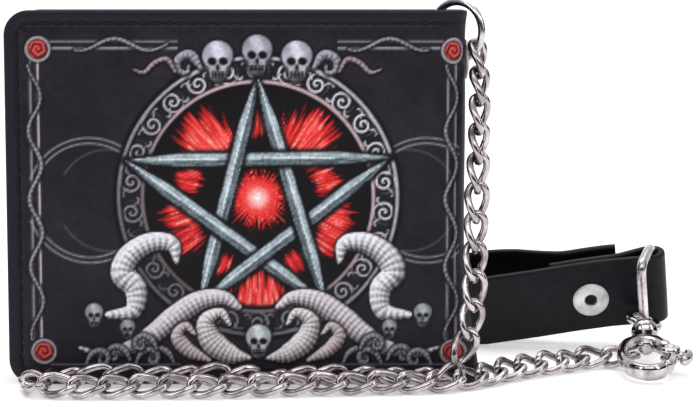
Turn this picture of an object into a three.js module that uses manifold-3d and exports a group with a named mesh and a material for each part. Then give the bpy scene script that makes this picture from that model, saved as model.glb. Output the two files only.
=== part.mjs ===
// A bifold wallet on a chain, standing closed on its long lower edge. The chain runs from a ring in the
// spine, down and along the floor, to a swivel clasp on the ring of a leather belt strap.
// Millimetres. +X towards the spine, -Y towards the front cover, +Z up.
// The origin is the middle of the closed wallet's lower edge.

import * as THREE from "three";
import { mergeVertices } from "three/addons/utils/BufferGeometryUtils.js";
import Module from "manifold-3d";

const wasm = await Module();
wasm.setup();

// ---------- driving dimensions ----------

// Closed wallet
const WALLET_WIDTH = 110;
const WALLET_HEIGHT = 90;
const INSIDE_DEPTH = 16.8; // between the covers, filled by the pieces of both halves
const CORNER_RADIUS = 6;
const SPINE_RADIUS = 5;
const COVER_LEATHER = 1.6;
const WALLET_DEPTH = INSIDE_DEPTH + 2 * COVER_LEATHER;
const PADDING = 2.0;
const LINING = 0.6;
const NOTE_SPACE = 1.0;
const POCKET_LEATHER = 0.9;
const BACK_PANEL_LEATHER = 0.8;
const FRAME_LEATHER = 0.7;
const WINDOW_FILM = 0.3;
const DIVIDER_CLOTH = 0.4;
const GAP = 0.3; // between pieces that touch
const SPINE_SPACE = 10; // from the inner pieces to the outside of the spine
const TURNED_EDGE = 3.5; // cover leather folded over the padding's edge
const POCKET_INSET = 2;
const POCKET_DROP = 4; // from the cover's upper edge to the pocket base's
const CARD_STEP = 10; // from one card slot's lip to the next
const FRONT_CARD_SLOTS = 3;
const WINDOW_BORDER = 6;
const WINDOW_FRAME_HEIGHT = 62;
const WINDOW_FRAME_WIDTH = 86;

// Wallet ring in its eyelet
const RING_OUTER_RADIUS = 8;
const RING_WIRE = 1.8;
const RING_TURN = THREE.MathUtils.degToRad(36); // its plane, from the front view, about Z
const RING_SET_BACK = 1.8; // its centre, behind the outside of the spine
const RING_EDGE_CLEARANCE = 0.6; // over the cover's upper edge
const EYELET_BORE = 5.6;
const EYELET_WALL = 0.4;
const EYELET_FLANGE = 9.6;
const EYELET_SHEET = 0.6;

// Chain, as the round envelope of its links
const CHAIN_ENVELOPE = 5;
const CHAIN_SIDES = 8;
const CHAIN_STEPS = 76;

// Belt strap
const STRAP_LEATHER = 1.8;
const STRAP_WIDTH = 20;
const STRAP_LENGTH = 45; // from the ring's bar to the middle of the belt bend
const BELT_BEND_RADIUS = 7.5; // middle of the leather
const RETURN_LENGTH = 27;
const TAIL_END = 9; // short of the ring's bar
const STRAP_PLACE = [109, 44, 7.1]; // the strap's lower edge at the ring's bar
const STRAP_LEAN = THREE.MathUtils.degToRad(20);
const STRAP_RISE = THREE.MathUtils.degToRad(6.6);

// Strap ring
const STRAP_RING_WIRE = 2.6;
const STRAP_RING_DEPTH = 11.5; // between its two long bars
const STRAP_RING_PLAY = 1; // beyond each edge of the strap
const STRAP_RING_CORNER = 2.6;
const STRAP_RING_SWING = THREE.MathUtils.degToRad(21);
const BAR_CLEARANCE = 0.4;

// Press stud
const SNAP_FROM_BAR = 17;
const SNAP_FLANGE_RADIUS = 4.8;
const SNAP_HOLE_RADIUS = 1.5;
const SNAP_POST_RADIUS = 1.9;
const SNAP_SHEET = 0.6;
const STUD_KNOB_RADIUS = 2.2;
const STUD_KNOB_HEIGHT = 2.2;
const SOCKET_BORE_RADIUS = 2.9;
const SOCKET_HEIGHT = 2.5;
const CAP_RADIUS = 5.6;
const CAP_DOME = 1.2;

// Swivel clasp
const CLASP_PLACE = [100.9, 3.2, 4.4]; // middle of the hook
const CLASP_PITCH = THREE.MathUtils.degToRad(8);
const CLASP_YAW = THREE.MathUtils.degToRad(-6.5);
const HOOK_HALF_WIDTH = 7.4;
const HOOK_HALF_LENGTH = 13.5;
const HOOK_HALF_OPENING = 4.6;
const HOOK_HALF_OPENING_LENGTH = 10.2;
const HOOK_OPENING_FORWARD = 0.8;
const HOOK_THICKNESS = 4;
const NECK_END = 17;
const NECK_WIDTH = 7;
const GATE_REACH = 11.6; // from its pivot to its tip
const GATE_START = THREE.MathUtils.degToRad(-60); // round the hook, from its right side
const NOSE_END = THREE.MathUtils.degToRad(-40);
const GATE_END = THREE.MathUtils.degToRad(22);
const GATE_GAP = THREE.MathUtils.degToRad(4);
const GATE_THICKNESS = 3.4;
const GATE_SHOULDER = THREE.MathUtils.degToRad(2); // where its full thickness stops below the ears
const GATE_TONGUE = 1.4;
const GATE_TONGUE_FOOT = -3.2;
const TIP_ARC_SIDES = 58;
const PIVOT = [5.8, 2.7];
const PIVOT_PIN_RADIUS = 0.8;
const EAR_RADIUS = 2.6;
const LEVER_REACH = 11.4;
const SWIVEL_POST_RADIUS = 1.2;
const SWIVEL_HEAD_RADIUS = 2;
const KNOB_RADIUS = 3.5;
const EYE_FROM_HOOK = 29.5;
const EYE_RADIUS = 4;
const EYE_WIRE = 2;
const EYE_TILT = THREE.MathUtils.degToRad(18);
const SPRING_RADIUS = 0.7;

// ---------- materials ----------

function material(color, roughness, metalness) {
  return new THREE.MeshStandardMaterial({ color, roughness, metalness });
}

const coverLeather = material(0x2b2830, 0.45, 0);
const pocketLeather = material(0x1d1b20, 0.55, 0);
const strapLeather = material(0x1b1a1f, 0.5, 0);
const lining = material(0x17171b, 0.9, 0);
const foam = material(0x55534f, 0.95, 0);
const film = material(0xdfe6ea, 0.1, 0);
const chrome = material(0xd4d2d2, 0.16, 1);
const nickel = material(0xc7c4c0, 0.3, 1);
const springSteel = material(0x9a9a9c, 0.35, 1);

// ---------- geometry helpers ----------

// A closed geometry as a manifold-3d solid.
function solid(geometry) {
  const bare = geometry.clone();
  bare.deleteAttribute("normal");
  bare.deleteAttribute("uv");
  const merged = mergeVertices(bare, 1e-4);
  const mesh = new wasm.Mesh({
    numProp: 3,
    vertProperties: merged.attributes.position.array,
    triVerts: new Uint32Array(merged.index.array),
  });
  return new wasm.Manifold(mesh);
}

function geometryOf(made) {
  const mesh = made.getMesh();
  const geometry = new THREE.BufferGeometry();
  geometry.setAttribute("position", new THREE.BufferAttribute(mesh.vertProperties, 3));
  geometry.setIndex(new THREE.BufferAttribute(mesh.triVerts, 1));
  geometry.computeVertexNormals();
  return geometry;
}

function piece(name, geometry, look, group) {
  const mesh = new THREE.Mesh(geometry, look);
  mesh.name = name;
  group.add(mesh);
  return mesh;
}

// An outline in X and Z, with thickness from one Y to another.
function upright(shape, fromY, toY) {
  const options = { depth: toY - fromY, bevelEnabled: false, curveSegments: 6 };
  const geometry = new THREE.ExtrudeGeometry(shape, options);
  geometry.rotateX(Math.PI / 2);
  geometry.translate(0, toY, 0);
  return geometry;
}

// A rectangle whose corners on the low-X side are rounded, and on the high-X side as well when asked.
function rectangle(lowX, highX, lowY, highY, lowSide, highSide = 0) {
  const shape = new THREE.Shape();
  shape.moveTo(lowX + lowSide, lowY);
  shape.lineTo(highX - highSide, lowY);
  if (highSide) shape.absarc(highX - highSide, lowY + highSide, highSide, -Math.PI / 2, 0);
  shape.lineTo(highX, highY - highSide);
  if (highSide) shape.absarc(highX - highSide, highY - highSide, highSide, 0, Math.PI / 2);
  shape.lineTo(lowX + lowSide, highY);
  if (lowSide) shape.absarc(lowX + lowSide, highY - lowSide, lowSide, Math.PI / 2, Math.PI);
  shape.lineTo(lowX, lowY + lowSide);
  if (lowSide) shape.absarc(lowX + lowSide, lowY + lowSide, lowSide, Math.PI, Math.PI * 1.5);
  return shape;
}

// A body of revolution about Y, from a closed profile of [radius, height] corners, anticlockwise.
function turned(profile, segments = 24) {
  const points = [...profile, profile[0]].map(([radius, height]) => new THREE.Vector2(radius, height));
  return new THREE.LatheGeometry(points, segments);
}

// A strip of leather on edge: the middle line of its thickness in plan, pulled up to its width.
function ribbon(line, thickness, width) {
  const sides = [1, -1].map((side) =>
    line.map((point, i) => {
      const before = line[Math.max(i - 1, 0)];
      const after = line[Math.min(i + 1, line.length - 1)];
      const along = after.clone().sub(before).normalize();
      return new THREE.Vector2(
        point.x + (side * along.y * thickness) / 2,
        point.y - (side * along.x * thickness) / 2,
      );
    }),
  );
  const shape = new THREE.Shape([...sides[0], ...sides[1].reverse()]);
  return new THREE.ExtrudeGeometry(shape, { depth: width, bevelEnabled: false });
}

const wallet = new THREE.Group();

// ---------- covers ----------

const freeEdge = -WALLET_WIDTH / 2;
const spineOutside = WALLET_WIDTH / 2;
const faceY = WALLET_DEPTH / 2;
const bendX = spineOutside - SPINE_RADIUS;
const bendY = faceY - SPINE_RADIUS;
const spineInside = spineOutside - COVER_LEATHER;
const innerBend = SPINE_RADIUS - COVER_LEATHER;

const ringMiddleRadius = RING_OUTER_RADIUS - RING_WIRE / 2;
const ringInnerRadius = RING_OUTER_RADIUS - RING_WIRE;
const ringX = spineOutside - RING_SET_BACK;
const ringAtSpine = RING_SET_BACK / Math.cos(RING_TURN);
const ringZ =
  WALLET_HEIGHT + RING_EDGE_CLEARANCE - Math.sqrt(ringInnerRadius ** 2 - ringAtSpine ** 2);
const ringY = (ringAtSpine / 2) * Math.sin(RING_TURN);
const eyeletRise = ringMiddleRadius - Math.sqrt(ringMiddleRadius ** 2 - ringAtSpine ** 2);
const eyeletZ = ringZ - ringMiddleRadius + eyeletRise;
const eyeletBarrel = EYELET_BORE / 2 + EYELET_WALL;

// The front cover runs round the spine as one piece of leather, to the fold at its far side.
const coverPlan = new THREE.Shape();
coverPlan.moveTo(freeEdge, -faceY);
coverPlan.lineTo(bendX, -faceY);
coverPlan.absarc(bendX, -bendY, SPINE_RADIUS, -Math.PI / 2, 0);
coverPlan.absarc(bendX, bendY, SPINE_RADIUS, 0, Math.PI / 2);
coverPlan.lineTo(bendX, faceY - COVER_LEATHER);
coverPlan.absarc(bendX, bendY, innerBend, Math.PI / 2, 0, true);
coverPlan.absarc(bendX, -bendY, innerBend, 0, -Math.PI / 2, true);
coverPlan.lineTo(freeEdge, COVER_LEATHER - faceY);

const coverBlank = new THREE.ExtrudeGeometry(coverPlan, {
  depth: WALLET_HEIGHT,
  bevelEnabled: false,
  curveSegments: 8,
});
const coverOutline = rectangle(freeEdge, spineOutside + 1, 0, WALLET_HEIGHT, CORNER_RADIUS);
const eyeletHole = new THREE.CylinderGeometry(eyeletBarrel + GAP, eyeletBarrel + GAP, 8, 24);
eyeletHole.rotateZ(Math.PI / 2);
eyeletHole.translate(spineOutside, 0, eyeletZ);
const frontCover = solid(coverBlank)
  .intersect(solid(upright(coverOutline, -WALLET_DEPTH, WALLET_DEPTH)))
  .subtract(solid(eyeletHole));
piece("front_cover", geometryOf(frontCover), coverLeather, wallet);

const backOutline = rectangle(freeEdge, bendX - GAP, 0, WALLET_HEIGHT, CORNER_RADIUS);
piece("back_cover", upright(backOutline, faceY - COVER_LEATHER, faceY), coverLeather, wallet);

// ---------- inside of each half, from the cover inwards ----------

const innerEnd = spineOutside - SPINE_SPACE;

// Lays pieces on each other from one face of the wallet towards its middle.
function layers(outward) {
  let depth = COVER_LEATHER;
  return (name, thickness, space, shape, look) => {
    const outer = outward * (faceY - depth - space);
    const inner = outward * (faceY - depth - space - thickness);
    depth += space + thickness;
    piece(name, upright(shape, Math.min(outer, inner), Math.max(outer, inner)), look, wallet);
  };
}

function paddingShape() {
  const low = freeEdge + TURNED_EDGE;
  return rectangle(low, innerEnd, TURNED_EDGE / 2, WALLET_HEIGHT - TURNED_EDGE / 2, CORNER_RADIUS / 2);
}

function pocketShape(height) {
  return rectangle(freeEdge + POCKET_INSET, innerEnd, 0, height, 2);
}

const pocketHeight = WALLET_HEIGHT - POCKET_DROP;

const layFront = layers(-1);
layFront("front_padding", PADDING, GAP, paddingShape(), foam);
layFront("front_lining", LINING, GAP, paddingShape(), lining);
layFront("front_pocket_base", POCKET_LEATHER, NOTE_SPACE, pocketShape(pocketHeight), pocketLeather);
for (let slot = 1; slot <= FRONT_CARD_SLOTS; slot++) {
  const lip = pocketHeight - slot * CARD_STEP;
  layFront(`front_card_pocket_${slot}`, POCKET_LEATHER, GAP, pocketShape(lip), pocketLeather);
}

const windowMiddle = (freeEdge + POCKET_INSET + innerEnd) / 2;
const windowLow = windowMiddle - WINDOW_FRAME_WIDTH / 2;
const windowHigh = windowMiddle + WINDOW_FRAME_WIDTH / 2;
const windowFrame = rectangle(windowLow, windowHigh, 0, WINDOW_FRAME_HEIGHT, 2, 2);
windowFrame.holes.push(
  rectangle(
    windowLow + WINDOW_BORDER,
    windowHigh - WINDOW_BORDER,
    WINDOW_BORDER,
    WINDOW_FRAME_HEIGHT - WINDOW_BORDER,
    2,
    2,
  ),
);
const filmEdge = WINDOW_BORDER / 2;
const filmShape = rectangle(
  windowLow + filmEdge,
  windowHigh - filmEdge,
  filmEdge,
  WINDOW_FRAME_HEIGHT - filmEdge,
  1,
  1,
);
const dividerSpace = (NOTE_SPACE - DIVIDER_CLOTH) / 2;

const layBack = layers(1);
layBack("back_padding", PADDING, GAP, paddingShape(), foam);
layBack("back_lining", LINING, GAP, paddingShape(), lining);
layBack("note_divider", DIVIDER_CLOTH, dividerSpace, pocketShape(pocketHeight - CARD_STEP / 2), lining);
layBack("back_pocket_base", POCKET_LEATHER, dividerSpace, pocketShape(pocketHeight), pocketLeather);
layBack("back_card_pocket", BACK_PANEL_LEATHER, GAP, pocketShape(pocketHeight - CARD_STEP), pocketLeather);
layBack("window_film", WINDOW_FILM, GAP, filmShape, film);
layBack("window_frame", FRAME_LEATHER, GAP, windowFrame, pocketLeather);

// ---------- eyelet and wallet ring ----------

const barrelLow = spineInside - GAP - EYELET_SHEET - GAP;
const flangeFace = spineOutside + GAP;
const eyelet = turned([
  [EYELET_BORE / 2, barrelLow],
  [eyeletBarrel, barrelLow],
  [eyeletBarrel, flangeFace],
  [EYELET_FLANGE / 2, flangeFace],
  [EYELET_FLANGE / 2 - EYELET_SHEET / 2, flangeFace + EYELET_SHEET],
  [EYELET_BORE / 2, flangeFace + EYELET_SHEET],
]);
const eyeletWasher = turned([
  [eyeletBarrel + GAP, spineInside - GAP - EYELET_SHEET],
  [EYELET_FLANGE / 2, spineInside - GAP - EYELET_SHEET],
  [EYELET_FLANGE / 2, spineInside - GAP],
  [eyeletBarrel + GAP, spineInside - GAP],
]);
for (const geometry of [eyelet, eyeletWasher]) {
  geometry.rotateZ(-Math.PI / 2);
  geometry.translate(0, 0, eyeletZ);
}
piece("eyelet", eyelet, nickel, wallet);
piece("eyelet_washer", eyeletWasher, nickel, wallet);

const ring = new THREE.TorusGeometry(ringMiddleRadius, RING_WIRE / 2, 8, 32);
ring.rotateX(Math.PI / 2);
const ringMesh = piece("wallet_ring", ring, chrome, wallet);
ringMesh.rotation.z = -RING_TURN;
ringMesh.position.set(ringX, ringY, ringZ);

// ---------- chain ----------

// From just under the wallet ring, down in front of the spine, along the floor by the wallet, back
// in front of itself, and across to the clasp.
const CHAIN_ROUTE = [
  [58.3, -5.4, 75.2],
  [58.3, -7.8, 69.5],
  [58.1, -9.9, 62],
  [57.8, -11.6, 52],
  [57.4, -12.8, 42],
  [57, -13.8, 31],
  [56.6, -14.6, 20],
  [54.6, -15.2, 10.5],
  [50, -15.6, 4.6],
  [43, -15, 3.4],
  [32, -14.3, 3],
  [20, -15.2, 3],
  [8, -14.3, 3],
  [-5, -15.1, 3],
  [-18, -14.3, 3],
  [-30, -14.6, 3],
  [-39, -14.1, 3],
  [-45.5, -15.4, 3],
  [-48.4, -20, 3],
  [-45.5, -24.6, 3],
  [-38, -26.2, 3],
  [-26, -26.2, 3],
  [-12, -25.8, 3],
  [2, -25, 3],
  [16, -22.9, 3],
  [30, -21.6, 3],
  [43, -20.2, 3],
  [52, -17.6, 3],
  [58.8, -12.4, 3],
  [66, -5.2, 3],
  [74, 1.2, 3],
  [82, 7, 3],
  [89.6, 12, 3.2],
];
const chainSection = new THREE.Shape();
chainSection.absarc(0, 0, CHAIN_ENVELOPE / 2, 0, 2 * Math.PI);
const chain = new THREE.ExtrudeGeometry(
  new THREE.Shape(chainSection.getSpacedPoints(CHAIN_SIDES).slice(0, CHAIN_SIDES)),
  {
    steps: CHAIN_STEPS,
    extrudePath: new THREE.CatmullRomCurve3(CHAIN_ROUTE.map((place) => new THREE.Vector3(...place))),
  },
);
piece("chain", chain, chrome, wallet);

// ---------- belt strap ----------

// The strap's own frame: the ring's bar is its Z axis, and the belt bend lies towards -X.
const strap = new THREE.Group();
strap.position.set(...STRAP_PLACE);
strap.rotation.set(STRAP_LEAN, -STRAP_RISE, 0);
wallet.add(strap);

const barRadius = STRAP_RING_WIRE / 2;
const foldRadius = barRadius + BAR_CLEARANCE + STRAP_LEATHER / 2;
const bendCentreY = BELT_BEND_RADIUS - foldRadius;
const tailStartY = bendCentreY + BELT_BEND_RADIUS;
const returnY = STRAP_LEATHER + GAP - foldRadius;
const snapBase = returnY + STRAP_LEATHER / 2;
const tailAtSnap =
  snapBase + GAP + SNAP_SHEET + GAP + SOCKET_HEIGHT + GAP + STRAP_LEATHER / 2;

function arc(centreX, centreY, radius, from, to, count) {
  const curve = new THREE.EllipseCurve(centreX, centreY, radius, radius, from, to, to < from);
  return curve.getPoints(count);
}

function smooth(corners, count) {
  return new THREE.SplineCurve(corners.map((corner) => new THREE.Vector2(...corner))).getPoints(count);
}

// Front leaf: from the belt bend's far end, round the bend, along the front, round the ring's bar and
// back along the inner side.
const frontLine = [
  ...arc(-STRAP_LENGTH, bendCentreY, BELT_BEND_RADIUS, Math.PI / 2, Math.PI * 1.5, 14),
  ...arc(0, 0, foldRadius, -Math.PI / 2, Math.PI / 2, 10),
  ...smooth(
    [
      [-1.5, foldRadius - 0.1],
      [-5, foldRadius * 0.5],
      [-9.5, returnY + 0.3],
      [-13, returnY],
    ],
    8,
  ),
  new THREE.Vector2(-RETURN_LENGTH, returnY),
];
const snapHole = new THREE.CylinderGeometry(SNAP_POST_RADIUS + GAP, SNAP_POST_RADIUS + GAP, 9, 20);
snapHole.translate(-SNAP_FROM_BAR, -foldRadius, STRAP_WIDTH / 2);
const frontLeaf = solid(ribbon(frontLine, STRAP_LEATHER, STRAP_WIDTH)).subtract(solid(snapHole));
piece("strap_front", geometryOf(frontLeaf), strapLeather, strap);

// Tail: from the belt bend to the press stud, rounded where it turns.
const tailX = -STRAP_LENGTH + STRAP_LEATHER / 2 + GAP;
const tailLine = [
  ...smooth(
    [
      [tailX, tailStartY],
      [-STRAP_LENGTH + 9, tailStartY - 1.6],
      [-STRAP_LENGTH + 18, tailAtSnap + 1.4],
      [-SNAP_FROM_BAR - 6, tailAtSnap],
    ],
    14,
  ),
  new THREE.Vector2(-TAIL_END, tailAtSnap),
];
const tailRound = new THREE.CylinderGeometry(STRAP_LEATHER / 2, STRAP_LEATHER / 2, STRAP_WIDTH, 16);
tailRound.rotateX(Math.PI / 2);
tailRound.translate(tailX, tailStartY, STRAP_WIDTH / 2);
const capPostHole = new THREE.CylinderGeometry(SNAP_HOLE_RADIUS + GAP, SNAP_HOLE_RADIUS + GAP, 4, 20);
capPostHole.translate(-SNAP_FROM_BAR, tailAtSnap, STRAP_WIDTH / 2);
const tail = solid(ribbon(tailLine, STRAP_LEATHER, STRAP_WIDTH))
  .add(solid(tailRound))
  .subtract(solid(capPostHole));
piece("strap_tail", geometryOf(tail), strapLeather, strap);

// ---------- strap ring ----------

const ringTop = STRAP_WIDTH + STRAP_RING_PLAY + barRadius;
const ringBottom = -STRAP_RING_PLAY - barRadius;
const loopOutline = rectangle(
  -STRAP_RING_DEPTH,
  0,
  ringBottom,
  ringTop,
  STRAP_RING_CORNER,
  STRAP_RING_CORNER,
);
const loopPoints = loopOutline
  .getSpacedPoints(44)
  .slice(0, 44)
  .map((point) => new THREE.Vector3(0, point.x, point.y));
const loopPath = new THREE.CatmullRomCurve3(loopPoints, true);
const strapRing = new THREE.TubeGeometry(loopPath, 44, barRadius, 8, true);
strapRing.rotateZ(-STRAP_RING_SWING);
piece("strap_ring", strapRing, chrome, strap);

// ---------- press stud ----------

function onStrap(profile) {
  const geometry = turned(profile, 20);
  geometry.translate(-SNAP_FROM_BAR, 0, STRAP_WIDTH / 2);
  return geometry;
}

const frontFace = -foldRadius - STRAP_LEATHER / 2;
const postTop = snapBase + GAP + SNAP_SHEET;
piece(
  "snap_post",
  onStrap([
    [SNAP_HOLE_RADIUS, frontFace - GAP - SNAP_SHEET],
    [SNAP_FLANGE_RADIUS - 0.3, frontFace - GAP - SNAP_SHEET],
    [SNAP_FLANGE_RADIUS, frontFace - GAP],
    [SNAP_POST_RADIUS, frontFace - GAP],
    [SNAP_POST_RADIUS, snapBase],
    [SNAP_HOLE_RADIUS, snapBase],
  ]),
  nickel,
  strap,
);
piece(
  "snap_stud",
  onStrap([
    [0.6, snapBase + GAP],
    [SNAP_FLANGE_RADIUS - 0.6, snapBase + GAP],
    [SNAP_FLANGE_RADIUS - 0.6, postTop],
    [STUD_KNOB_RADIUS - 0.3, postTop],
    [STUD_KNOB_RADIUS, postTop + STUD_KNOB_HEIGHT - 0.8],
    [STUD_KNOB_RADIUS - 0.5, postTop + STUD_KNOB_HEIGHT],
    [0.6, postTop + STUD_KNOB_HEIGHT],
  ]),
  nickel,
  strap,
);
const tailInner = tailAtSnap - STRAP_LEATHER / 2;
const tailOuter = tailAtSnap + STRAP_LEATHER / 2;
const socketLow = tailInner - GAP - SOCKET_HEIGHT;
piece(
  "snap_socket",
  onStrap([
    [SOCKET_BORE_RADIUS, socketLow],
    [SNAP_FLANGE_RADIUS - 0.6, socketLow],
    [SNAP_FLANGE_RADIUS, socketLow + SOCKET_HEIGHT * 0.6],
    [SNAP_FLANGE_RADIUS, tailInner - GAP],
    [SOCKET_BORE_RADIUS, tailInner - GAP],
  ]),
  nickel,
  strap,
);
piece(
  "snap_cap",
  onStrap([
    [0, tailInner],
    [SNAP_HOLE_RADIUS, tailInner],
    [SNAP_HOLE_RADIUS, tailOuter + GAP],
    [CAP_RADIUS, tailOuter + GAP],
    [CAP_RADIUS - 0.2, tailOuter + GAP + CAP_DOME * 0.45],
    [CAP_RADIUS * 0.75, tailOuter + GAP + CAP_DOME * 0.85],
    [CAP_RADIUS * 0.4, tailOuter + GAP + CAP_DOME],
    [0, tailOuter + GAP + CAP_DOME],
  ]),
  chrome,
  strap,
);

// ---------- swivel clasp ----------

// The clasp's own frame: the nose points to -Y, the gate is on the +X side, and Z is its thickness.
const clasp = new THREE.Group();
clasp.position.set(...CLASP_PLACE);
clasp.rotation.set(CLASP_PITCH, 0, CLASP_YAW, "ZXY");
wallet.add(clasp);

// Part of the hook's oval band, between two angles.
function band(from, to) {
  const shape = new THREE.Shape();
  shape.absellipse(0, 0, HOOK_HALF_WIDTH, HOOK_HALF_LENGTH, from, to);
  const inner = new THREE.Path();
  inner.absellipse(
    0,
    -HOOK_OPENING_FORWARD,
    HOOK_HALF_OPENING,
    HOOK_HALF_OPENING_LENGTH,
    to,
    from,
    true,
  );
  for (const point of inner.getPoints(24)) shape.lineTo(point.x, point.y);
  return shape;
}

// An outline pulled up evenly to both sides of the clasp's middle plane.
function flat(shape, thickness, bevel = 0) {
  const geometry = new THREE.ExtrudeGeometry(shape, {
    depth: thickness - 2 * bevel,
    bevelEnabled: bevel > 0,
    bevelThickness: bevel,
    bevelSize: bevel,
    bevelOffset: -bevel,
    bevelSegments: 2,
    curveSegments: 24,
  });
  geometry.translate(0, 0, bevel - thickness / 2);
  return geometry;
}

function disc(x, y, radius, thickness, segments = 20) {
  const geometry = new THREE.CylinderGeometry(radius, radius, thickness, segments);
  geometry.rotateX(Math.PI / 2);
  geometry.translate(x, y, 0);
  return geometry;
}

function rod(fromY, toY, radius) {
  const geometry = new THREE.CylinderGeometry(radius, radius, toY - fromY, 20);
  geometry.translate(0, (fromY + toY) / 2, 0);
  return geometry;
}

const pivotClearance = PIVOT_PIN_RADIUS + GAP;
const hookEnd = GATE_END + GATE_GAP;
const noseEnd = 2 * Math.PI + NOSE_END;
const neckStart = HOOK_HALF_LENGTH - 3;
const neck = flat(
  rectangle(-NECK_WIDTH / 2, NECK_WIDTH / 2, neckStart, NECK_END, 1, 1),
  HOOK_THICKNESS,
);
const neckBore = rod(0, NECK_END + 2, SWIVEL_POST_RADIUS + GAP);
const gateSlot = disc(...PIVOT, EAR_RADIUS + GAP * 2, GATE_TONGUE + 2 * GAP);
const pivotHole = disc(...PIVOT, pivotClearance, HOOK_THICKNESS + 2);
// The nose ends in an arc round the pivot, which the gate's tip swings past.
const tipSweep = disc(...PIVOT, GATE_REACH + GAP, HOOK_THICKNESS + 2, TIP_ARC_SIDES);
const noseSide = flat(
  rectangle(0, HOOK_HALF_WIDTH + 1, -HOOK_HALF_LENGTH, -HOOK_HALF_LENGTH / 2, 0),
  HOOK_THICKNESS + 2,
);
const springFrom = new THREE.Vector3(5.1, 5.8, 0);
const springTo = new THREE.Vector3(4.35, 8, 0);

// A rod between two places in the clasp's middle plane.
function slanted(from, to, radius) {
  const along = to.clone().sub(from);
  const geometry = new THREE.CylinderGeometry(radius, radius, along.length(), 12);
  geometry.rotateZ(-Math.atan2(along.x, along.y));
  geometry.translate((from.x + to.x) / 2, (from.y + to.y) / 2, 0);
  return geometry;
}

const springPocket = slanted(new THREE.Vector3(5.7, 4, 0), springTo, SPRING_RADIUS + GAP);
const hook = solid(flat(band(hookEnd, noseEnd), HOOK_THICKNESS))
  .add(solid(disc(...PIVOT, EAR_RADIUS, HOOK_THICKNESS)))
  .add(solid(neck))
  .subtract(solid(tipSweep).intersect(solid(noseSide)))
  .subtract(solid(gateSlot))
  .subtract(solid(pivotHole))
  .subtract(solid(neckBore))
  .subtract(solid(springPocket));
piece("clasp_hook", geometryOf(hook), chrome, clasp);

const springTip = springFrom.clone().lerp(springTo, 0.9);
piece("gate_spring", slanted(springFrom, springTip, SPRING_RADIUS), springSteel, clasp);
piece("gate_pin", disc(...PIVOT, PIVOT_PIN_RADIUS, HOOK_THICKNESS + 0.4), nickel, clasp);

// The gate closes the hook's right side, and its thumb lever stands out beside the pivot.
const lever = new THREE.Shape();
lever.moveTo(PIVOT[0] + EAR_RADIUS + 2 * GAP, 1);
lever.lineTo(PIVOT[0] + EAR_RADIUS + 2 * GAP, PIVOT[1] + 1.2);
lever.quadraticCurveTo(LEVER_REACH - 1, PIVOT[1] + 1.6, LEVER_REACH, PIVOT[1] - 0.6);
lever.quadraticCurveTo(LEVER_REACH - 0.2, PIVOT[1] - 4.4, LEVER_REACH - 2.6, PIVOT[1] - 6);
const tongue = rectangle(HOOK_HALF_OPENING + GAP, HOOK_HALF_WIDTH - GAP, GATE_TONGUE_FOOT, PIVOT[1] - 1, 0);
const leverRoot = rectangle(PIVOT[0], LEVER_REACH - 2, PIVOT[1] - 1.6, PIVOT[1] + 1, 0);
const clearOfEars = disc(...PIVOT, EAR_RADIUS + 1.5 * GAP, HOOK_THICKNESS + 2);
const tipArc = disc(...PIVOT, GATE_REACH, HOOK_THICKNESS + 2, TIP_ARC_SIDES);
const gate = solid(flat(band(GATE_START, GATE_SHOULDER), GATE_THICKNESS))
  .intersect(solid(tipArc))
  .add(solid(flat(lever, GATE_THICKNESS - 1)))
  .subtract(solid(clearOfEars))
  .add(solid(flat(tongue, GATE_TONGUE)))
  .add(solid(disc(...PIVOT, EAR_RADIUS - 0.2, GATE_TONGUE)))
  .add(solid(flat(leverRoot, GATE_TONGUE)))
  .subtract(solid(pivotHole));
piece("clasp_gate", geometryOf(gate), chrome, clasp);

// The swivel eye: a post through the neck, headed inside the hook, a round knob, and the eye behind it.
const knobLow = NECK_END + GAP;
const headTop = HOOK_HALF_OPENING_LENGTH - HOOK_OPENING_FORWARD - 1.4;
const knobMiddle = knobLow + KNOB_RADIUS * 0.8;
const eyeKnob = new THREE.SphereGeometry(KNOB_RADIUS, 20, 12);
eyeKnob.scale(1, 0.8, 1);
eyeKnob.translate(0, knobMiddle, 0);
const eyeLoop = new THREE.TorusGeometry(EYE_RADIUS, EYE_WIRE / 2, 8, 28);
eyeLoop.rotateY(EYE_TILT);
eyeLoop.translate(0, EYE_FROM_HOOK, 0);
const swivelEye = solid(rod(headTop - 0.5, EYE_FROM_HOOK - EYE_RADIUS, SWIVEL_POST_RADIUS))
  .add(solid(rod(headTop - 1, headTop, SWIVEL_HEAD_RADIUS)))
  .add(solid(eyeKnob))
  .add(solid(eyeLoop));
piece("clasp_eye", geometryOf(swivelEye), chrome, clasp);

export default wallet;
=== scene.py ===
import math

import bmesh
import bpy
import numpy as np
from mathutils import Matrix, Vector


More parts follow.
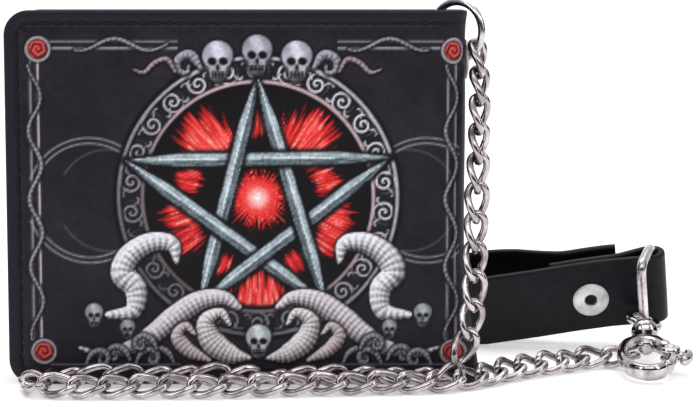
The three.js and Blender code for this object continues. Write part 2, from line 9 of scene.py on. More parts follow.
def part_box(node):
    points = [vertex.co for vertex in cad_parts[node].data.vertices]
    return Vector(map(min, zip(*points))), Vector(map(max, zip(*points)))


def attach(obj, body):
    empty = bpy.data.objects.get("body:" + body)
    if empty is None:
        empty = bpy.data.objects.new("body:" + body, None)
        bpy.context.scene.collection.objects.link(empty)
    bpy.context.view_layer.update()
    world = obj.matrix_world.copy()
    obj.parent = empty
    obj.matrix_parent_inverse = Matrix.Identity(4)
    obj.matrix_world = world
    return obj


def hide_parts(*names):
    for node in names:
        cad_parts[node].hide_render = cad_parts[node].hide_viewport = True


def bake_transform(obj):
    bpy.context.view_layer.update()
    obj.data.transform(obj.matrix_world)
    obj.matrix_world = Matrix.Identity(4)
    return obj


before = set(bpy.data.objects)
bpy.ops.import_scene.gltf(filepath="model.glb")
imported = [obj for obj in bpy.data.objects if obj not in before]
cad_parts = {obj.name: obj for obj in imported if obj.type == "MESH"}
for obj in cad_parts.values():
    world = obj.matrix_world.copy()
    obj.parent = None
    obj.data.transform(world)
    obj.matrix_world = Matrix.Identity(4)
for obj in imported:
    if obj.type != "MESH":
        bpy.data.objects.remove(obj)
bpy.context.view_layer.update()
MM = 0.001  # Blender works in metres. Lengths below are in millimetres until they are multiplied by this.

# ---------------------------------------------------------------- camera
# A product view: the wallet's face is square to it. The lens is a little above the middle of the
# wallet, half a metre away, and looks slightly down.
CAMERA_PLACE = (0.0273, -0.490, 0.095)
CAMERA_DOWN = math.radians(6.07)
camera_data = bpy.data.cameras.new("camera")
camera_data.lens = 103.8
camera_data.sensor_width = 36
camera = bpy.data.objects.new("camera", camera_data)
camera.location = CAMERA_PLACE
camera.rotation_euler = (math.pi / 2 - CAMERA_DOWN, 0, 0)
bpy.context.scene.collection.objects.link(camera)
bpy.context.scene.camera = camera


# ---------------------------------------------------------------- curb chain
# About fifty oval links of bright nickel-plated steel wire, each bent shut and twisted so that the
# chain lies flat. It hangs from the wallet ring, lies along the floor and ends in the clasp's hook.
def tone(colour):
    """An sRGB hex colour as three shares from 0 to 1."""
    return np.array([int(colour[i : i + 2], 16) / 255 for i in (1, 3, 5)])


def linear(colour):
    """An sRGB colour, as a hex value or an array of shares, turned to linear light."""
    if isinstance(colour, str):
        colour = tone(colour)
    return np.where(colour <= 0.04045, colour / 12.92, ((colour + 0.055) / 1.055) ** 2.4)


def add_node(owner, kind, inputs=None, outputs=None, stops=(), **settings):
    """Adds a node to a material or a world, with its settings and links.

    An input is a value, or an output of another node to link from. Outputs are linked to the sockets
    given. Stops are a colour ramp's places and hex colours.
    """
    made = owner.node_tree.nodes.new(kind)
    for name, value in settings.items():
        setattr(made, name, value)
    for name, value in (inputs or {}).items():
        if isinstance(value, bpy.types.NodeSocket):
            owner.node_tree.links.new(value, made.inputs[name])
        else:
            made.inputs[name].default_value = value
    for name, target in (outputs or {}).items():
        owner.node_tree.links.new(made.outputs[name], target)
    if stops:
        elements = made.color_ramp.elements
        while len(elements) < len(stops):
            elements.new(0.5)
        for element, (place, colour) in zip(elements, stops):
            element.position = place
            element.color = [*linear(colour), 1.0]
    return made


def start_material(name, **constants):
    """A material, its shader's sockets with the plain values set on them, and its place on the object."""
    material = bpy.data.materials.new(name)
    material.use_nodes = True
    shader = material.node_tree.nodes["Principled BSDF"]
    for socket, value in constants.items():
        shader.inputs[socket.replace("_", " ")].default_value = value
    place = add_node(material, "ShaderNodeTexCoord").outputs["Object"]
    return material, shader.inputs, place


def plated_metal(name, dark, light, roughness, rub_mm):
    """Plated wire, pressings or castings: bright, with a hazy dulling and fine marks from tumbling."""
    haze_mm = 4.5
    material, shader, place = start_material(name, Metallic=1.0)
    haze = add_node(
        material,
        "ShaderNodeTexNoise",
        {"Vector": place, "Scale": 1 / (haze_mm * MM), "Detail": 5.0, "Roughness": 0.6},
    ).outputs["Fac"]
    add_node(
        material,
        "ShaderNodeValToRGB",
        {"Fac": haze},
        {"Color": shader["Base Color"]},
        stops=[(0.3, dark), (0.62, light)],
    )
    spread = {"From Min": 0.3, "From Max": 0.7, "To Min": roughness * 1.5, "To Max": roughness * 0.7}
    add_node(material, "ShaderNodeMapRange", {"Value": haze, **spread}, {"Result": shader["Roughness"]})
    rub = add_node(
        material,
        "ShaderNodeTexNoise",
        {"Vector": place, "Scale": 1 / (rub_mm * MM), "Detail": 3.0, "Distortion": 1.5},
    ).outputs["Fac"]
    add_node(
        material,
        "ShaderNodeBump",
        {"Height": rub, "Strength": 0.05, "Distance": 0.05 * MM},
        {"Normal": shader["Normal"]},
    )
    return material


def finish_piece(name, part, material, body=None, nodes=()):
    """A smooth shaded object from (corners in mm, faces), riding on a body and standing for CAD nodes."""
    verts, faces = part
    mesh = bpy.data.meshes.new(name)
    mesh.from_pydata((np.asarray(verts, float) * MM).tolist(), [], faces)
    mesh.validate()
    shape = bmesh.new()
    shape.from_mesh(mesh)
    bmesh.ops.recalc_face_normals(shape, faces=shape.faces)
    shape.to_mesh(mesh)
    shape.free()
    mesh.shade_smooth()
    mesh.materials.append(material)
    made = bpy.data.objects.new(name, mesh)
    bpy.context.scene.collection.objects.link(made)
    if nodes:
        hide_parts(*nodes)
    if body:
        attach(made, body)
    return made


def joined(parts):
    """Several (corners, faces) as one."""
    verts, faces, count = [], [], 0
    for part_verts, part_faces in parts:
        verts.append(np.asarray(part_verts, float))
        faces += [[i + count for i in face] for face in part_faces]
        count += len(part_verts)
    return np.concatenate(verts), faces


def tube(line, radius, side, sides, closed=False):
    """Round wire along a line. Its sections are laid out from a side direction, one for all or one each."""
    line = np.asarray(line, float)
    count = len(line)
    ahead = np.roll(line, -1, 0) - np.roll(line, 1, 0)
    if not closed:
        ahead[0], ahead[-1] = line[1] - line[0], line[-1] - line[-2]
    ahead /= np.linalg.norm(ahead, axis=1, keepdims=True)
    across = np.broadcast_to(np.asarray(side, float), line.shape)
    across = across - ahead * (across * ahead).sum(1, keepdims=True)
    across = across / np.linalg.norm(across, axis=1, keepdims=True)
    third = np.cross(ahead, across)
    turn = np.arange(sides) * 2 * np.pi / sides
    radius = np.broadcast_to(np.asarray(radius, float), (count,))[:, None, None]
    verts = line[:, None] + radius * (
        np.cos(turn)[None, :, None] * across[:, None] + np.sin(turn)[None, :, None] * third[:, None]
    )
    faces = []
    for i in range(count if closed else count - 1):
        j = (i + 1) % count
        for k in range(sides):
            m = (k + 1) % sides
            faces.append([i * sides + k, i * sides + m, j * sides + m, j * sides + k])
    if not closed:
        faces.append(list(range(sides))[::-1])
        faces.append([(count - 1) * sides + k for k in range(sides)])
    return verts.reshape(-1, 3), faces


def arc_lengths(line):
    """How far along a line each of its points is."""
    return np.concatenate([[0], np.cumsum(np.linalg.norm(np.diff(line, axis=0), axis=1))])


def through(points, spacing):
    """Even steps along a centripetal Catmull-Rom curve through the points."""
    steps_between = 40
    points = np.asarray(points, float)
    points = np.vstack([2 * points[0] - points[1], points, 2 * points[-1] - points[-2]])
    out = []
    for i in range(1, len(points) - 2):
        p = points[i - 1 : i + 3]
        k = np.concatenate([[0], np.cumsum(np.sqrt(np.linalg.norm(np.diff(p, axis=0), axis=1)))])
        t = np.linspace(k[1], k[2], steps_between, endpoint=False)[:, None]

        def between(a, b, first, last):
            return (a * (k[last] - t) + b * (t - k[first])) / (k[last] - k[first])

        a1, a2, a3 = between(p[0], p[1], 0, 1), between(p[1], p[2], 1, 2), between(p[2], p[3], 2, 3)
        out.append(between(between(a1, a2, 0, 2), between(a2, a3, 1, 3), 1, 2))
    out = np.vstack([*out, points[-2:-1]])
    far = arc_lengths(out)
    steps = np.linspace(0, far[-1], max(2, int(round(far[-1] / spacing)) + 1))
    return np.stack([np.interp(steps, far, out[:, axis]) for axis in range(out.shape[1])], 1)


CHAIN_ROUTE = [
    (58.3, -5.4, 75.2), (58.3, -7.8, 69.5), (58.1, -9.9, 62), (57.8, -11.6, 52), (57.4, -12.8, 42),
    (57, -13.8, 31), (56.6, -14.6, 20), (54.6, -15.2, 10.5), (50, -15.6, 4.6), (43, -15, 3.4),
    (32, -14.3, 3), (20, -15.2, 3), (8, -14.3, 3), (-5, -15.1, 3), (-18, -14.3, 3), (-30, -14.6, 3),
    (-39, -14.1, 3), (-45.5, -15.4, 3), (-48.4, -20, 3), (-45.5, -24.6, 3), (-38, -26.2, 3),
    (-26, -26.2, 3), (-12, -25.8, 3), (2, -25, 3), (16, -22.9, 3), (30, -21.6, 3), (43, -20.2, 3),
    (52, -17.6, 3), (58.8, -12.4, 3), (66, -5.2, 3), (74, 1.2, 3), (82, 7, 3), (89.6, 12, 3.2),
]
CHAIN_HOOKED = [(57.8, -2.0, 83.2)]
CHAIN_CLASPED = [(95, 11.2, 3.6), (100.1, 9.0, 4.2)]
LINK_WIRE = 1.8
LINK_LENGTH = 10.65
LINK_WIDTH = 6.8
LINK_TWIST = math.radians(-46)
LINK_PITCH = LINK_LENGTH - 2 * LINK_WIRE - 0.05

LINK_STEPS = 34
ROUTE_STEP = 0.5

# Nickel plate over steel wire: a warm grey mirror, duller where the links rub each other.
nickel_chain = plated_metal("bright_nickel_plated_steel_wire", "#6e6566", "#cdc5c5", 0.15, 0.9)


def chain_link():
    """One curb link about its own middle: X along the chain, Y its width. Its two ends are twisted apart."""
    half_length = (LINK_LENGTH - LINK_WIRE) / 2
    half_width = (LINK_WIDTH - LINK_WIRE) / 2
    turn = np.arange(LINK_STEPS) * 2 * np.pi / LINK_STEPS
    along = half_length * np.sign(np.cos(turn)) * np.abs(np.cos(turn)) ** 0.9
    wide = half_width * np.sign(np.sin(turn)) * np.abs(np.sin(turn)) ** 0.8
    twist = LINK_TWIST * along / half_length
    line = np.stack([along, wide * np.cos(twist), wide * np.sin(twist)], 1)
    side = np.stack([0 * twist, -np.sin(twist), np.cos(twist)], 1)
    return tube(line, LINK_WIRE / 2, side, 10, closed=True)


link_route = through(CHAIN_HOOKED + CHAIN_ROUTE + CHAIN_CLASPED, ROUTE_STEP)
link_far = arc_lengths(link_route)
link_count = int(round((link_far[-1] - LINK_LENGTH) / LINK_PITCH)) + 1
link_places = np.linspace(LINK_LENGTH / 2, link_far[-1] - LINK_LENGTH / 2, link_count)
# Each link's lean about the chain's run, in degrees by how far along the chain it is: one way where the
# chain hangs, and rolled to and fro where it lies. Each link then strays a little by itself.
HANGING_AT, HANGING_LEAN = [10, 35, 60], [-70, -42, -28]
LEAN_AT = [84, 100, 112, 124, 136, 150, 166, 180, 190, 204, 220, 240, 262, 290, 320, 348, 372, 400]
LEAN = [44, 34, 58, 14, 62, 40, 64, 18, 48, 30, 44, 36, 40, 34, 42, 30, 44, 28]
LEAN_STRAY = 7
RUN_REACH = 2.5  # either side of a link's middle, for the chain's direction there
STEEP = 0.8
ON_FLOOR_BELOW = 6
FLOOR_TOUCH = 0.02


def on_chain(far):
    """The place this far along the chain's middle line."""
    return np.array([np.interp(far, link_far, link_route[:, k]) for k in range(3)])


link_verts, link_faces = chain_link()
links = []
random = np.random.default_rng(7)
for far in link_places:
    middle = on_chain(far)
    run = on_chain(far + RUN_REACH) - on_chain(far - RUN_REACH)
    run /= np.linalg.norm(run)
    hanging = abs(run[2]) > STEEP
    up = np.array([0, -1.0, 0.3]) if hanging else np.array([0, 0, 1.0])
    flat_side = np.cross(up, run)
    flat_side /= np.linalg.norm(flat_side)
    raised = np.cross(run, flat_side)
    lean = np.interp(far, HANGING_AT, HANGING_LEAN) if hanging else np.interp(far, LEAN_AT, LEAN)
    lean = math.radians(lean + random.uniform(-LEAN_STRAY, LEAN_STRAY))
    width_way = flat_side * math.cos(lean) + raised * math.sin(lean)
    face_way = np.cross(run, width_way)
    placed = middle + link_verts[:, :1] * run + link_verts[:, 1:2] * width_way + link_verts[:, 2:] * face_way
    if middle[2] < ON_FLOOR_BELOW:
        placed[:, 2] -= placed[:, 2].min() - FLOOR_TOUCH
    links.append((placed, link_faces))
chain = finish_piece("curb_chain", joined(links), nickel_chain, "front_half", ["chain"])


# ---------------------------------------------------------------- printed covers
# Each half is one sheet of smooth coated leather, printed by heat transfer, turned in and sewn round
# its free edges. The front sheet also wraps round the spine, and the back one is hinged to it there.
def node_box(node):
    """A CAD node's lowest and highest corners in mm."""
    return [np.round(np.array(corner) / MM, 4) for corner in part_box(node)]


wallet_low, wallet_high = node_box("front_cover")
WALLET_LEFT, WALLET_RIGHT, WALLET_TOP = wallet_low[0], wallet_high[0], wallet_high[2]
WALLET_FACE = wallet_high[1]
COVER_THICKNESS = 1.6
COVER_CORNER = 6.0
SPINE_BEND = 5.0
FOLD_ANGLE = 60.0  # of the spine's rear bend, in degrees, that the front sheet goes round
STITCH_INSET = 3.1
PRINT_INSET = 3.6
SEAM_DEEP, SEAM_WIDE = 0.26, 0.55
SWELL, WAVE = 0.22, 0.16
FOOT_SPREAD, HEAD_SPREAD, SPREAD_FROM = 4.2, 0.5, 14
NO_EDGE = 1e6  # an outline's side that isn't there


def slab(outer, inner, step=1):
    """A closed sheet from two grids of points. The inner one keeps only every step-th row and column."""
    rows, columns = outer.shape[:2]
    coarse = inner[::step, ::step]
    few_rows, few_columns = coarse.shape[:2]
    verts = np.concatenate([outer.reshape(-1, 3), coarse.reshape(-1, 3)])
    start = rows * columns

    def fine(i, j):
        return i * columns + j

    def rough(i, j):
        return start + i * few_columns + j

    faces = [
        [fine(i, j), fine(i, j + 1), fine(i + 1, j + 1), fine(i + 1, j)]
        for i in range(rows - 1)
        for j in range(columns - 1)
    ]
    faces += [
        [rough(i, j), rough(i + 1, j), rough(i + 1, j + 1), rough(i, j + 1)]
        for i in range(few_rows - 1)
        for j in range(few_columns - 1)
    ]
    for j in range(few_columns - 1):
        a = [fine(0, k) for k in range(j * step, (j + 1) * step + 1)]
        faces.append(a[::-1] + [rough(0, j), rough(0, j + 1)])
        b = [fine(rows - 1, k) for k in range(j * step, (j + 1) * step + 1)]
        faces.append(b + [rough(few_rows - 1, j + 1), rough(few_rows - 1, j)])
    for i in range(few_rows - 1):
        a = [fine(k, 0) for k in range(i * step, (i + 1) * step + 1)]
        faces.append(a + [rough(i + 1, 0), rough(i, 0)])
        b = [fine(k, columns - 1) for k in range(i * step, (i + 1) * step + 1)]
        faces.append(b[::-1] + [rough(i, columns - 1), rough(i + 1, columns - 1)])
    return verts, faces


def spaced(low, high, pitch, step=1, edge_low=True, edge_high=True):
    """Places from low to high, close together by the edges, in a whole number of steps."""
    by_edge = np.array([0, 0.08, 0.22, 0.42, 0.72, 1.1])
    first = low + by_edge if edge_low else np.array([low])
    last = high - by_edge[::-1] if edge_high else np.array([high])
    count = max(2, int(round((last[0] - first[-1]) / pitch)))
    total = len(first) + len(last) + count - 2
    count += (-total) % step
    return np.concatenate([first, np.linspace(first[-1], last[0], count + 1)[1:-1], last])


def inset_of(x, z, low_x, high_x, low_z, high_z, corner_low, corner_high=0.0):
    """How far in from a rounded outline each point is."""
    up = np.minimum(z - low_z, high_z - z)
    left, right = x - low_x, high_x - x

    def with_corner(side, corner):
        inside = np.minimum(side, up)
        if corner:
            both = (side < corner) & (up < corner)
            inside = np.where(both, corner - np.hypot(corner - side, corner - up), inside)
        return inside

    return np.minimum(with_corner(left, corner_low), with_corner(right, corner_high))


def corner_cut(z, low_z, high_z, corner):
    """How far a rounded corner moves a side edge in at each height."""
    up = np.clip(np.minimum(z - low_z, high_z - z), 0, corner)
    return corner - np.sqrt(np.maximum(corner**2 - (corner - up) ** 2, 0))


def rounded_in(inside, radius):
    """How far a face drops towards an edge that is rounded to this radius."""
    near = np.clip(inside, 0, radius)
    return radius - np.sqrt(np.maximum(radius**2 - (radius - near) ** 2, 0))


def value_noise(x, z, cell, seed):
    """Smooth noise from 0 to 1 whose lumps are about one cell across. It repeats after 64 cells."""
    table = np.random.default_rng(seed).random((64, 64))
    shift = 200.0
    u, v = x / cell + shift, z / cell + shift
    i, j = np.floor(u).astype(int), np.floor(v).astype(int)
    s, t = u - i, v - j
    s, t = s * s * (3 - 2 * s), t * t * (3 - 2 * t)
    a, b = table[i % 64, j % 64], table[(i + 1) % 64, j % 64]
    c, d = table[i % 64, (j + 1) % 64], table[(i + 1) % 64, (j + 1) % 64]
    return (a * (1 - s) + b * s) * (1 - t) + (c * (1 - s) + d * s) * t


def ink(picture, colour, amount):
    """Lays a colour over the picture, by an amount at each point."""
    colour = tone(colour) if isinstance(colour, str) else colour
    picture += (colour - picture) * np.clip(amount, 0, 1)[:, None]


def within(distance, blur):
    """1 inside an outline and 0 outside it, from each point's distance beyond it."""
    return np.clip(0.5 - distance / blur, 0, 1)


def by_line(x, z, line, reach):
    """For a drawn line: the points near it, their distance, share along and signed offset, and its length."""
    line = np.asarray(line, float)
    low, high = line.min(0) - reach, line.max(0) + reach
    near = np.flatnonzero((x > low[0]) & (x < high[0]) & (z > low[1]) & (z < high[1]))
    px, pz = x[near], z[near]
    best, along, side = np.full(px.shape, 1e9), np.zeros(px.shape), np.zeros(px.shape)
    step = np.diff(line, axis=0)
    long = np.hypot(step[:, 0], step[:, 1])
    far = np.concatenate([[0], np.cumsum(long)])
    for i in range(len(step)):
        t = ((px - line[i, 0]) * step[i, 0] + (pz - line[i, 1]) * step[i, 1]) / long[i] ** 2
        t = np.clip(t, 0, 1)
        dx, dz = px - line[i, 0] - t * step[i, 0], pz - line[i, 1] - t * step[i, 1]
        gap = np.hypot(dx, dz)
        closer = gap < best
        best = np.where(closer, gap, best)
        along = np.where(closer, (far[i] + t * long[i]) / far[-1], along)
        side = np.where(closer, np.sign(step[i, 0] * dz - step[i, 1] * dx), side)
    return near, best, along, side * best, far[-1]


LIT_FROM = (-0.45, 0.9)


def draw_horn(picture, x, z, line, widths, dark, light, ridges):
    """A round, tapering form along a line, lit from above, with a dark outline and cross ridges."""
    line = through(line, 0.7)
    near, gap, along, offset, long = by_line(x, z, line, max(widths) + 1.5)
    half = np.interp(along, np.linspace(0, 1, len(widths)), widths)
    shade = picture[near]
    ink(shade, "#0b0a0d", 0.85 * within(gap - half - 0.45, 0.7))
    across = np.clip(offset / np.maximum(half, 0.05), -1, 1)
    position = np.clip((along * (len(line) - 1)).astype(int), 0, len(line) - 2)
    ahead = line[position + 1] - line[position]
    ahead /= np.linalg.norm(ahead, axis=1, keepdims=True)
    facing = across * (-ahead[:, 1] * LIT_FROM[0] + ahead[:, 0] * LIT_FROM[1])
    bright = 0.46 + 0.34 * np.sqrt(1 - across**2) + 0.6 * facing
    bright += 0.2 * np.sin(2 * np.pi * (along * long / ridges + 0.25 * across**2)) * (1 - 0.4 * across**2)
    bright += 0.08 * np.sin(2 * np.pi * across * 2.5)
    bright = np.clip(bright, 0, 1)[:, None]
    ink(shade, tone(dark) * (1 - bright) + tone(light) * bright, within(gap - half, 0.35))
    picture[near] = shade


def draw_skull(picture, x, z, middle_x, middle_z, tall, light):
    """A small plain skull seen from the front: a dome, cheeks, a jaw, sockets and a row of teeth."""
    half = tall / 2
    near = np.flatnonzero((np.abs(x - middle_x) < half * 1.3) & (np.abs(z - middle_z) < half * 1.4))
    u, v = (x[near] - middle_x) / half, (z[near] - middle_z) / half
    shade = picture[near]
    edge = 0.42 / half

    def oval(cu, cv, ru, rv):
        return (np.hypot((u - cu) / ru, (v - cv) / rv) - 1) * min(ru, rv)

    dome, cheeks, jaw = oval(0, 0.28, 0.74, 0.72), oval(0, -0.22, 0.56, 0.42), oval(0, -0.66, 0.40, 0.36)
    form = np.minimum.reduce([dome, cheeks, jaw])
    ink(shade, "#0a090b", 0.9 * within(form - 0.1, edge * 2))
    bright = 0.95 - 0.55 * (u**2 + 0.5 * (v - 0.35) ** 2) + 0.12 * np.sin(7 * u + 3 * v)
    bright -= 0.4 * np.clip(-v - 0.3, 0, 1)
    bright = np.clip(bright, 0.1, 1)[:, None]
    ink(shade, tone("#262324") * (1 - bright) + tone(light) * bright, within(form, edge))
    for side in (-1, 1):
        ink(shade, "#0c090a", within(oval(0.27 * side, 0.0, 0.22, 0.2), edge))
        ink(shade, "#3a3534", 0.8 * within(oval(0.5 * side, -0.38, 0.1, 0.16), edge))
    ink(shade, "#0c090a", within(oval(0, -0.3, 0.09, 0.15), edge))
    teeth = (np.abs(u) < 0.32) & (v < -0.48) & (v > -0.82)
    ink(shade, "#171314", teeth * (0.35 + 0.5 * (np.cos(u * 34) < -0.2) + 0.5 * (np.abs(v + 0.65) < 0.035)))
    picture[near] = shade


# The star's five points in mm, in the order in which its bars join them.
STAR_POINTS = [(5.3, 74.0), (-8.8, 19.8), (37.0, 55.0), (-26.2, 54.2), (21.5, 19.4)]
STAR_BAR_HALF = 1.6
STAR_BAR_OVER = 4.4


def crossing(a, b, c, d):
    """Where the line from a to b crosses the one from c to d."""
    (ax, az), (bx, bz), (cx, cz), (dx, dz) = a, b, c, d
    bottom = (bx - ax) * (dz - cz) - (bz - az) * (dx - cx)
    share = ((cx - ax) * (dz - cz) - (cz - az) * (dx - cx)) / bottom
    return ax + share * (bx - ax), az + share * (bz - az)


def draw_bar(picture, x, z, a, b, only=None):
    """One forged bar of the star: pointed at both ends, with a lit and a dark bevel and file marks."""
    a, b = np.array(a), np.array(b)
    run = b - a
    long = np.hypot(*run)
    run /= long
    if run[0] < 0 or (abs(run[0]) < 0.3 and run[1] > 0):
        a, b, run = b, a, -run
    along = (x - a[0]) * run[0] + (z - a[1]) * run[1]
    offset = -(x - a[0]) * run[1] + (z - a[1]) * run[0]
    share = np.clip(along / long, 0, 1)
    half = STAR_BAR_HALF * np.clip(np.minimum(share, 1 - share) * 5.0, 0.02, 1) ** 0.75
    form = np.maximum(np.abs(offset) - half, np.maximum(-along, along - long))
    where = np.ones(x.shape)
    if only:
        where = within(np.hypot(x - only[0], z - only[1]) - STAR_BAR_OVER, 0.3)
    ink(picture, "#07070a", 0.92 * within(form - 0.75, 1.0) * where)
    across = offset / half
    marks = value_noise(along * 0.35, offset * 3.0, 1.0, 11) * 0.5
    marks += value_noise(along * 2, offset * 2, 1.0, 12) * 0.3
    upper = across > 0.05
    bright = np.where(upper, 0.74, 0.36) + 0.75 * (marks - 0.4) - 0.25 * (np.abs(across) > 0.84)
    bright += 0.3 * np.exp(-(((across - 0.05) / 0.16) ** 2))
    bright = np.clip(bright, 0, 1)[:, None]
    ink(picture, tone("#1a2327") * (1 - bright) + tone("#dcebf0") * bright, within(form, 0.4) * where)


# The fire's colours by its heat, and its bursts: the middle and size of each in mm, and its strength.
FIRE_COLOURS = [(0, "#0f080d"), (0.25, "#5c0d12"), (0.6, "#d61f21"), (1.0, "#ff665c")]
FIRE_BURSTS = [
    (5.3, 45.0, 6.6, 1.0), (-6.8, 59.6, 6.6, 1.0), (17.4, 59.6, 6.6, 1.0), (5.3, 63.0, 3.2, 0.7),
    (-11.2, 49.4, 3.4, 0.8), (21.8, 49.4, 3.4, 0.8), (-13.0, 41.0, 4.4, 0.95), (23.6, 41.0, 4.4, 0.95),
    (-12.0, 35.4, 4.0, 0.85), (22.6, 35.4, 4.0, 0.85), (5.3, 21.6, 6.2, 1.0), (-3.8, 29.4, 2.8, 0.8),
    (14.4, 29.4, 2.8, 0.8),
]
# One side's horns, mirrored on the other: route from the picture's middle line, widths, colours, ridge pitch.
HORNS = [
    (
        [(43, 9), (38, 7.5), (31, 9), (25, 12.5), (20, 16.5), (13.5, 20.5), (8, 21.0), (5.0, 19.0)],
        [0.4, 1.0, 1.8, 2.4, 2.8, 2.8, 2.2, 0.9], "#0e0d11", "#e9e0e4", 1.3,
    ),
    (
        [(36, 17), (30, 18), (29.5, 23.5), (32.5, 27), (31, 31), (25.5, 34.5), (20.5, 34), (19.5, 30)],
        [0.9, 2.0, 2.6, 2.9, 2.9, 2.6, 2.1, 0.6], "#0f0f13", "#f0eef2", 1.5,
    ),
    (
        [(2.2, 6.5), (7, 7.5), (11.5, 11), (12.5, 15.5), (9, 17.5), (7, 14.8)],
        [0.5, 2.4, 3.0, 2.4, 1.4, 0.4], "#151113", "#f4efed", 1.1,
    ),
    (
        [(12, 6), (17, 8.5), (19.5, 12), (17.5, 14.4), (15.4, 12.4)],
        [0.5, 1.6, 1.9, 1.2, 0.4], "#151113", "#e2d2d0", 1.1,
    ),
    (
        [(13.5, 76.5), (16, 79.5), (18.8, 78.2), (18.6, 75.6), (16.6, 75.2), (16.3, 76.9)],
        [0.5, 1.1, 1.1, 0.9, 0.6, 0.3], "#131317", "#a9a8b0", 1.2,
    ),
    (
        [(19.5, 75.5), (21.5, 78.4), (24.5, 77.4), (27.0, 75.2), (29.5, 76.0)],
        [0.3, 0.6, 0.6, 0.5, 0.2], "#131317", "#b39da1", 1.2,
    ),
]
# Tendrils along the foot: how far out each starts, its height, and which way it curls.
TENDRILS = [(20.5, 5.6, 1), (29.5, 5.4, -1), (31.0, 6.2, 1), (41.5, 5.2, -1), (24.5, 8.8, 1)]
TENDRIL_CURL = [(0, 0), (1.2, 2.2), (3.4, 3.2), (5.2, 2.0), (4.9, 0.2), (3.3, 0.1), (3.3, 1.4)]
# Skulls either side: how far out, height, how tall, colour. The last two stand on the middle line.
SKULLS = [(39.5, 17.0, 5.8, "#b6bcc2"), (31.5, 13.6, 4.8, "#aaaeb4"), (9.4, 77.9, 9.8, "#d9d9e6")]
MIDDLE_SKULLS = [(79.4, 9.6, "#c3c3cf"), (10.6, 8.2, "#dfe6ea")]
PRINT_MIDDLE = (5.3, 45.5)
MOON_HEIGHT = 44.7
FIRE_RADIUS = 27.4
RING_RADIUS, RING_HALF = 30.4, 3.3
RING_SCROLLS = 26
ROUNDELS = [(-46.8, 80.8), (-46.4, 8.2), (52.0, 80.4), (52.0, 8.0)]
# The frame's rods: their place across or up in mm, and colour.
UPRIGHT_RODS = [(-48.7, "#a3a1ac"), (-46.9, "#dacfd6"), (50.6, "#a3a1ac"), (52.6, "#b4b1bb")]
LEVEL_RODS = [(82.6, "#96939d"), (81.0, "#d0ccd7"), (5.0, "#67646c")]


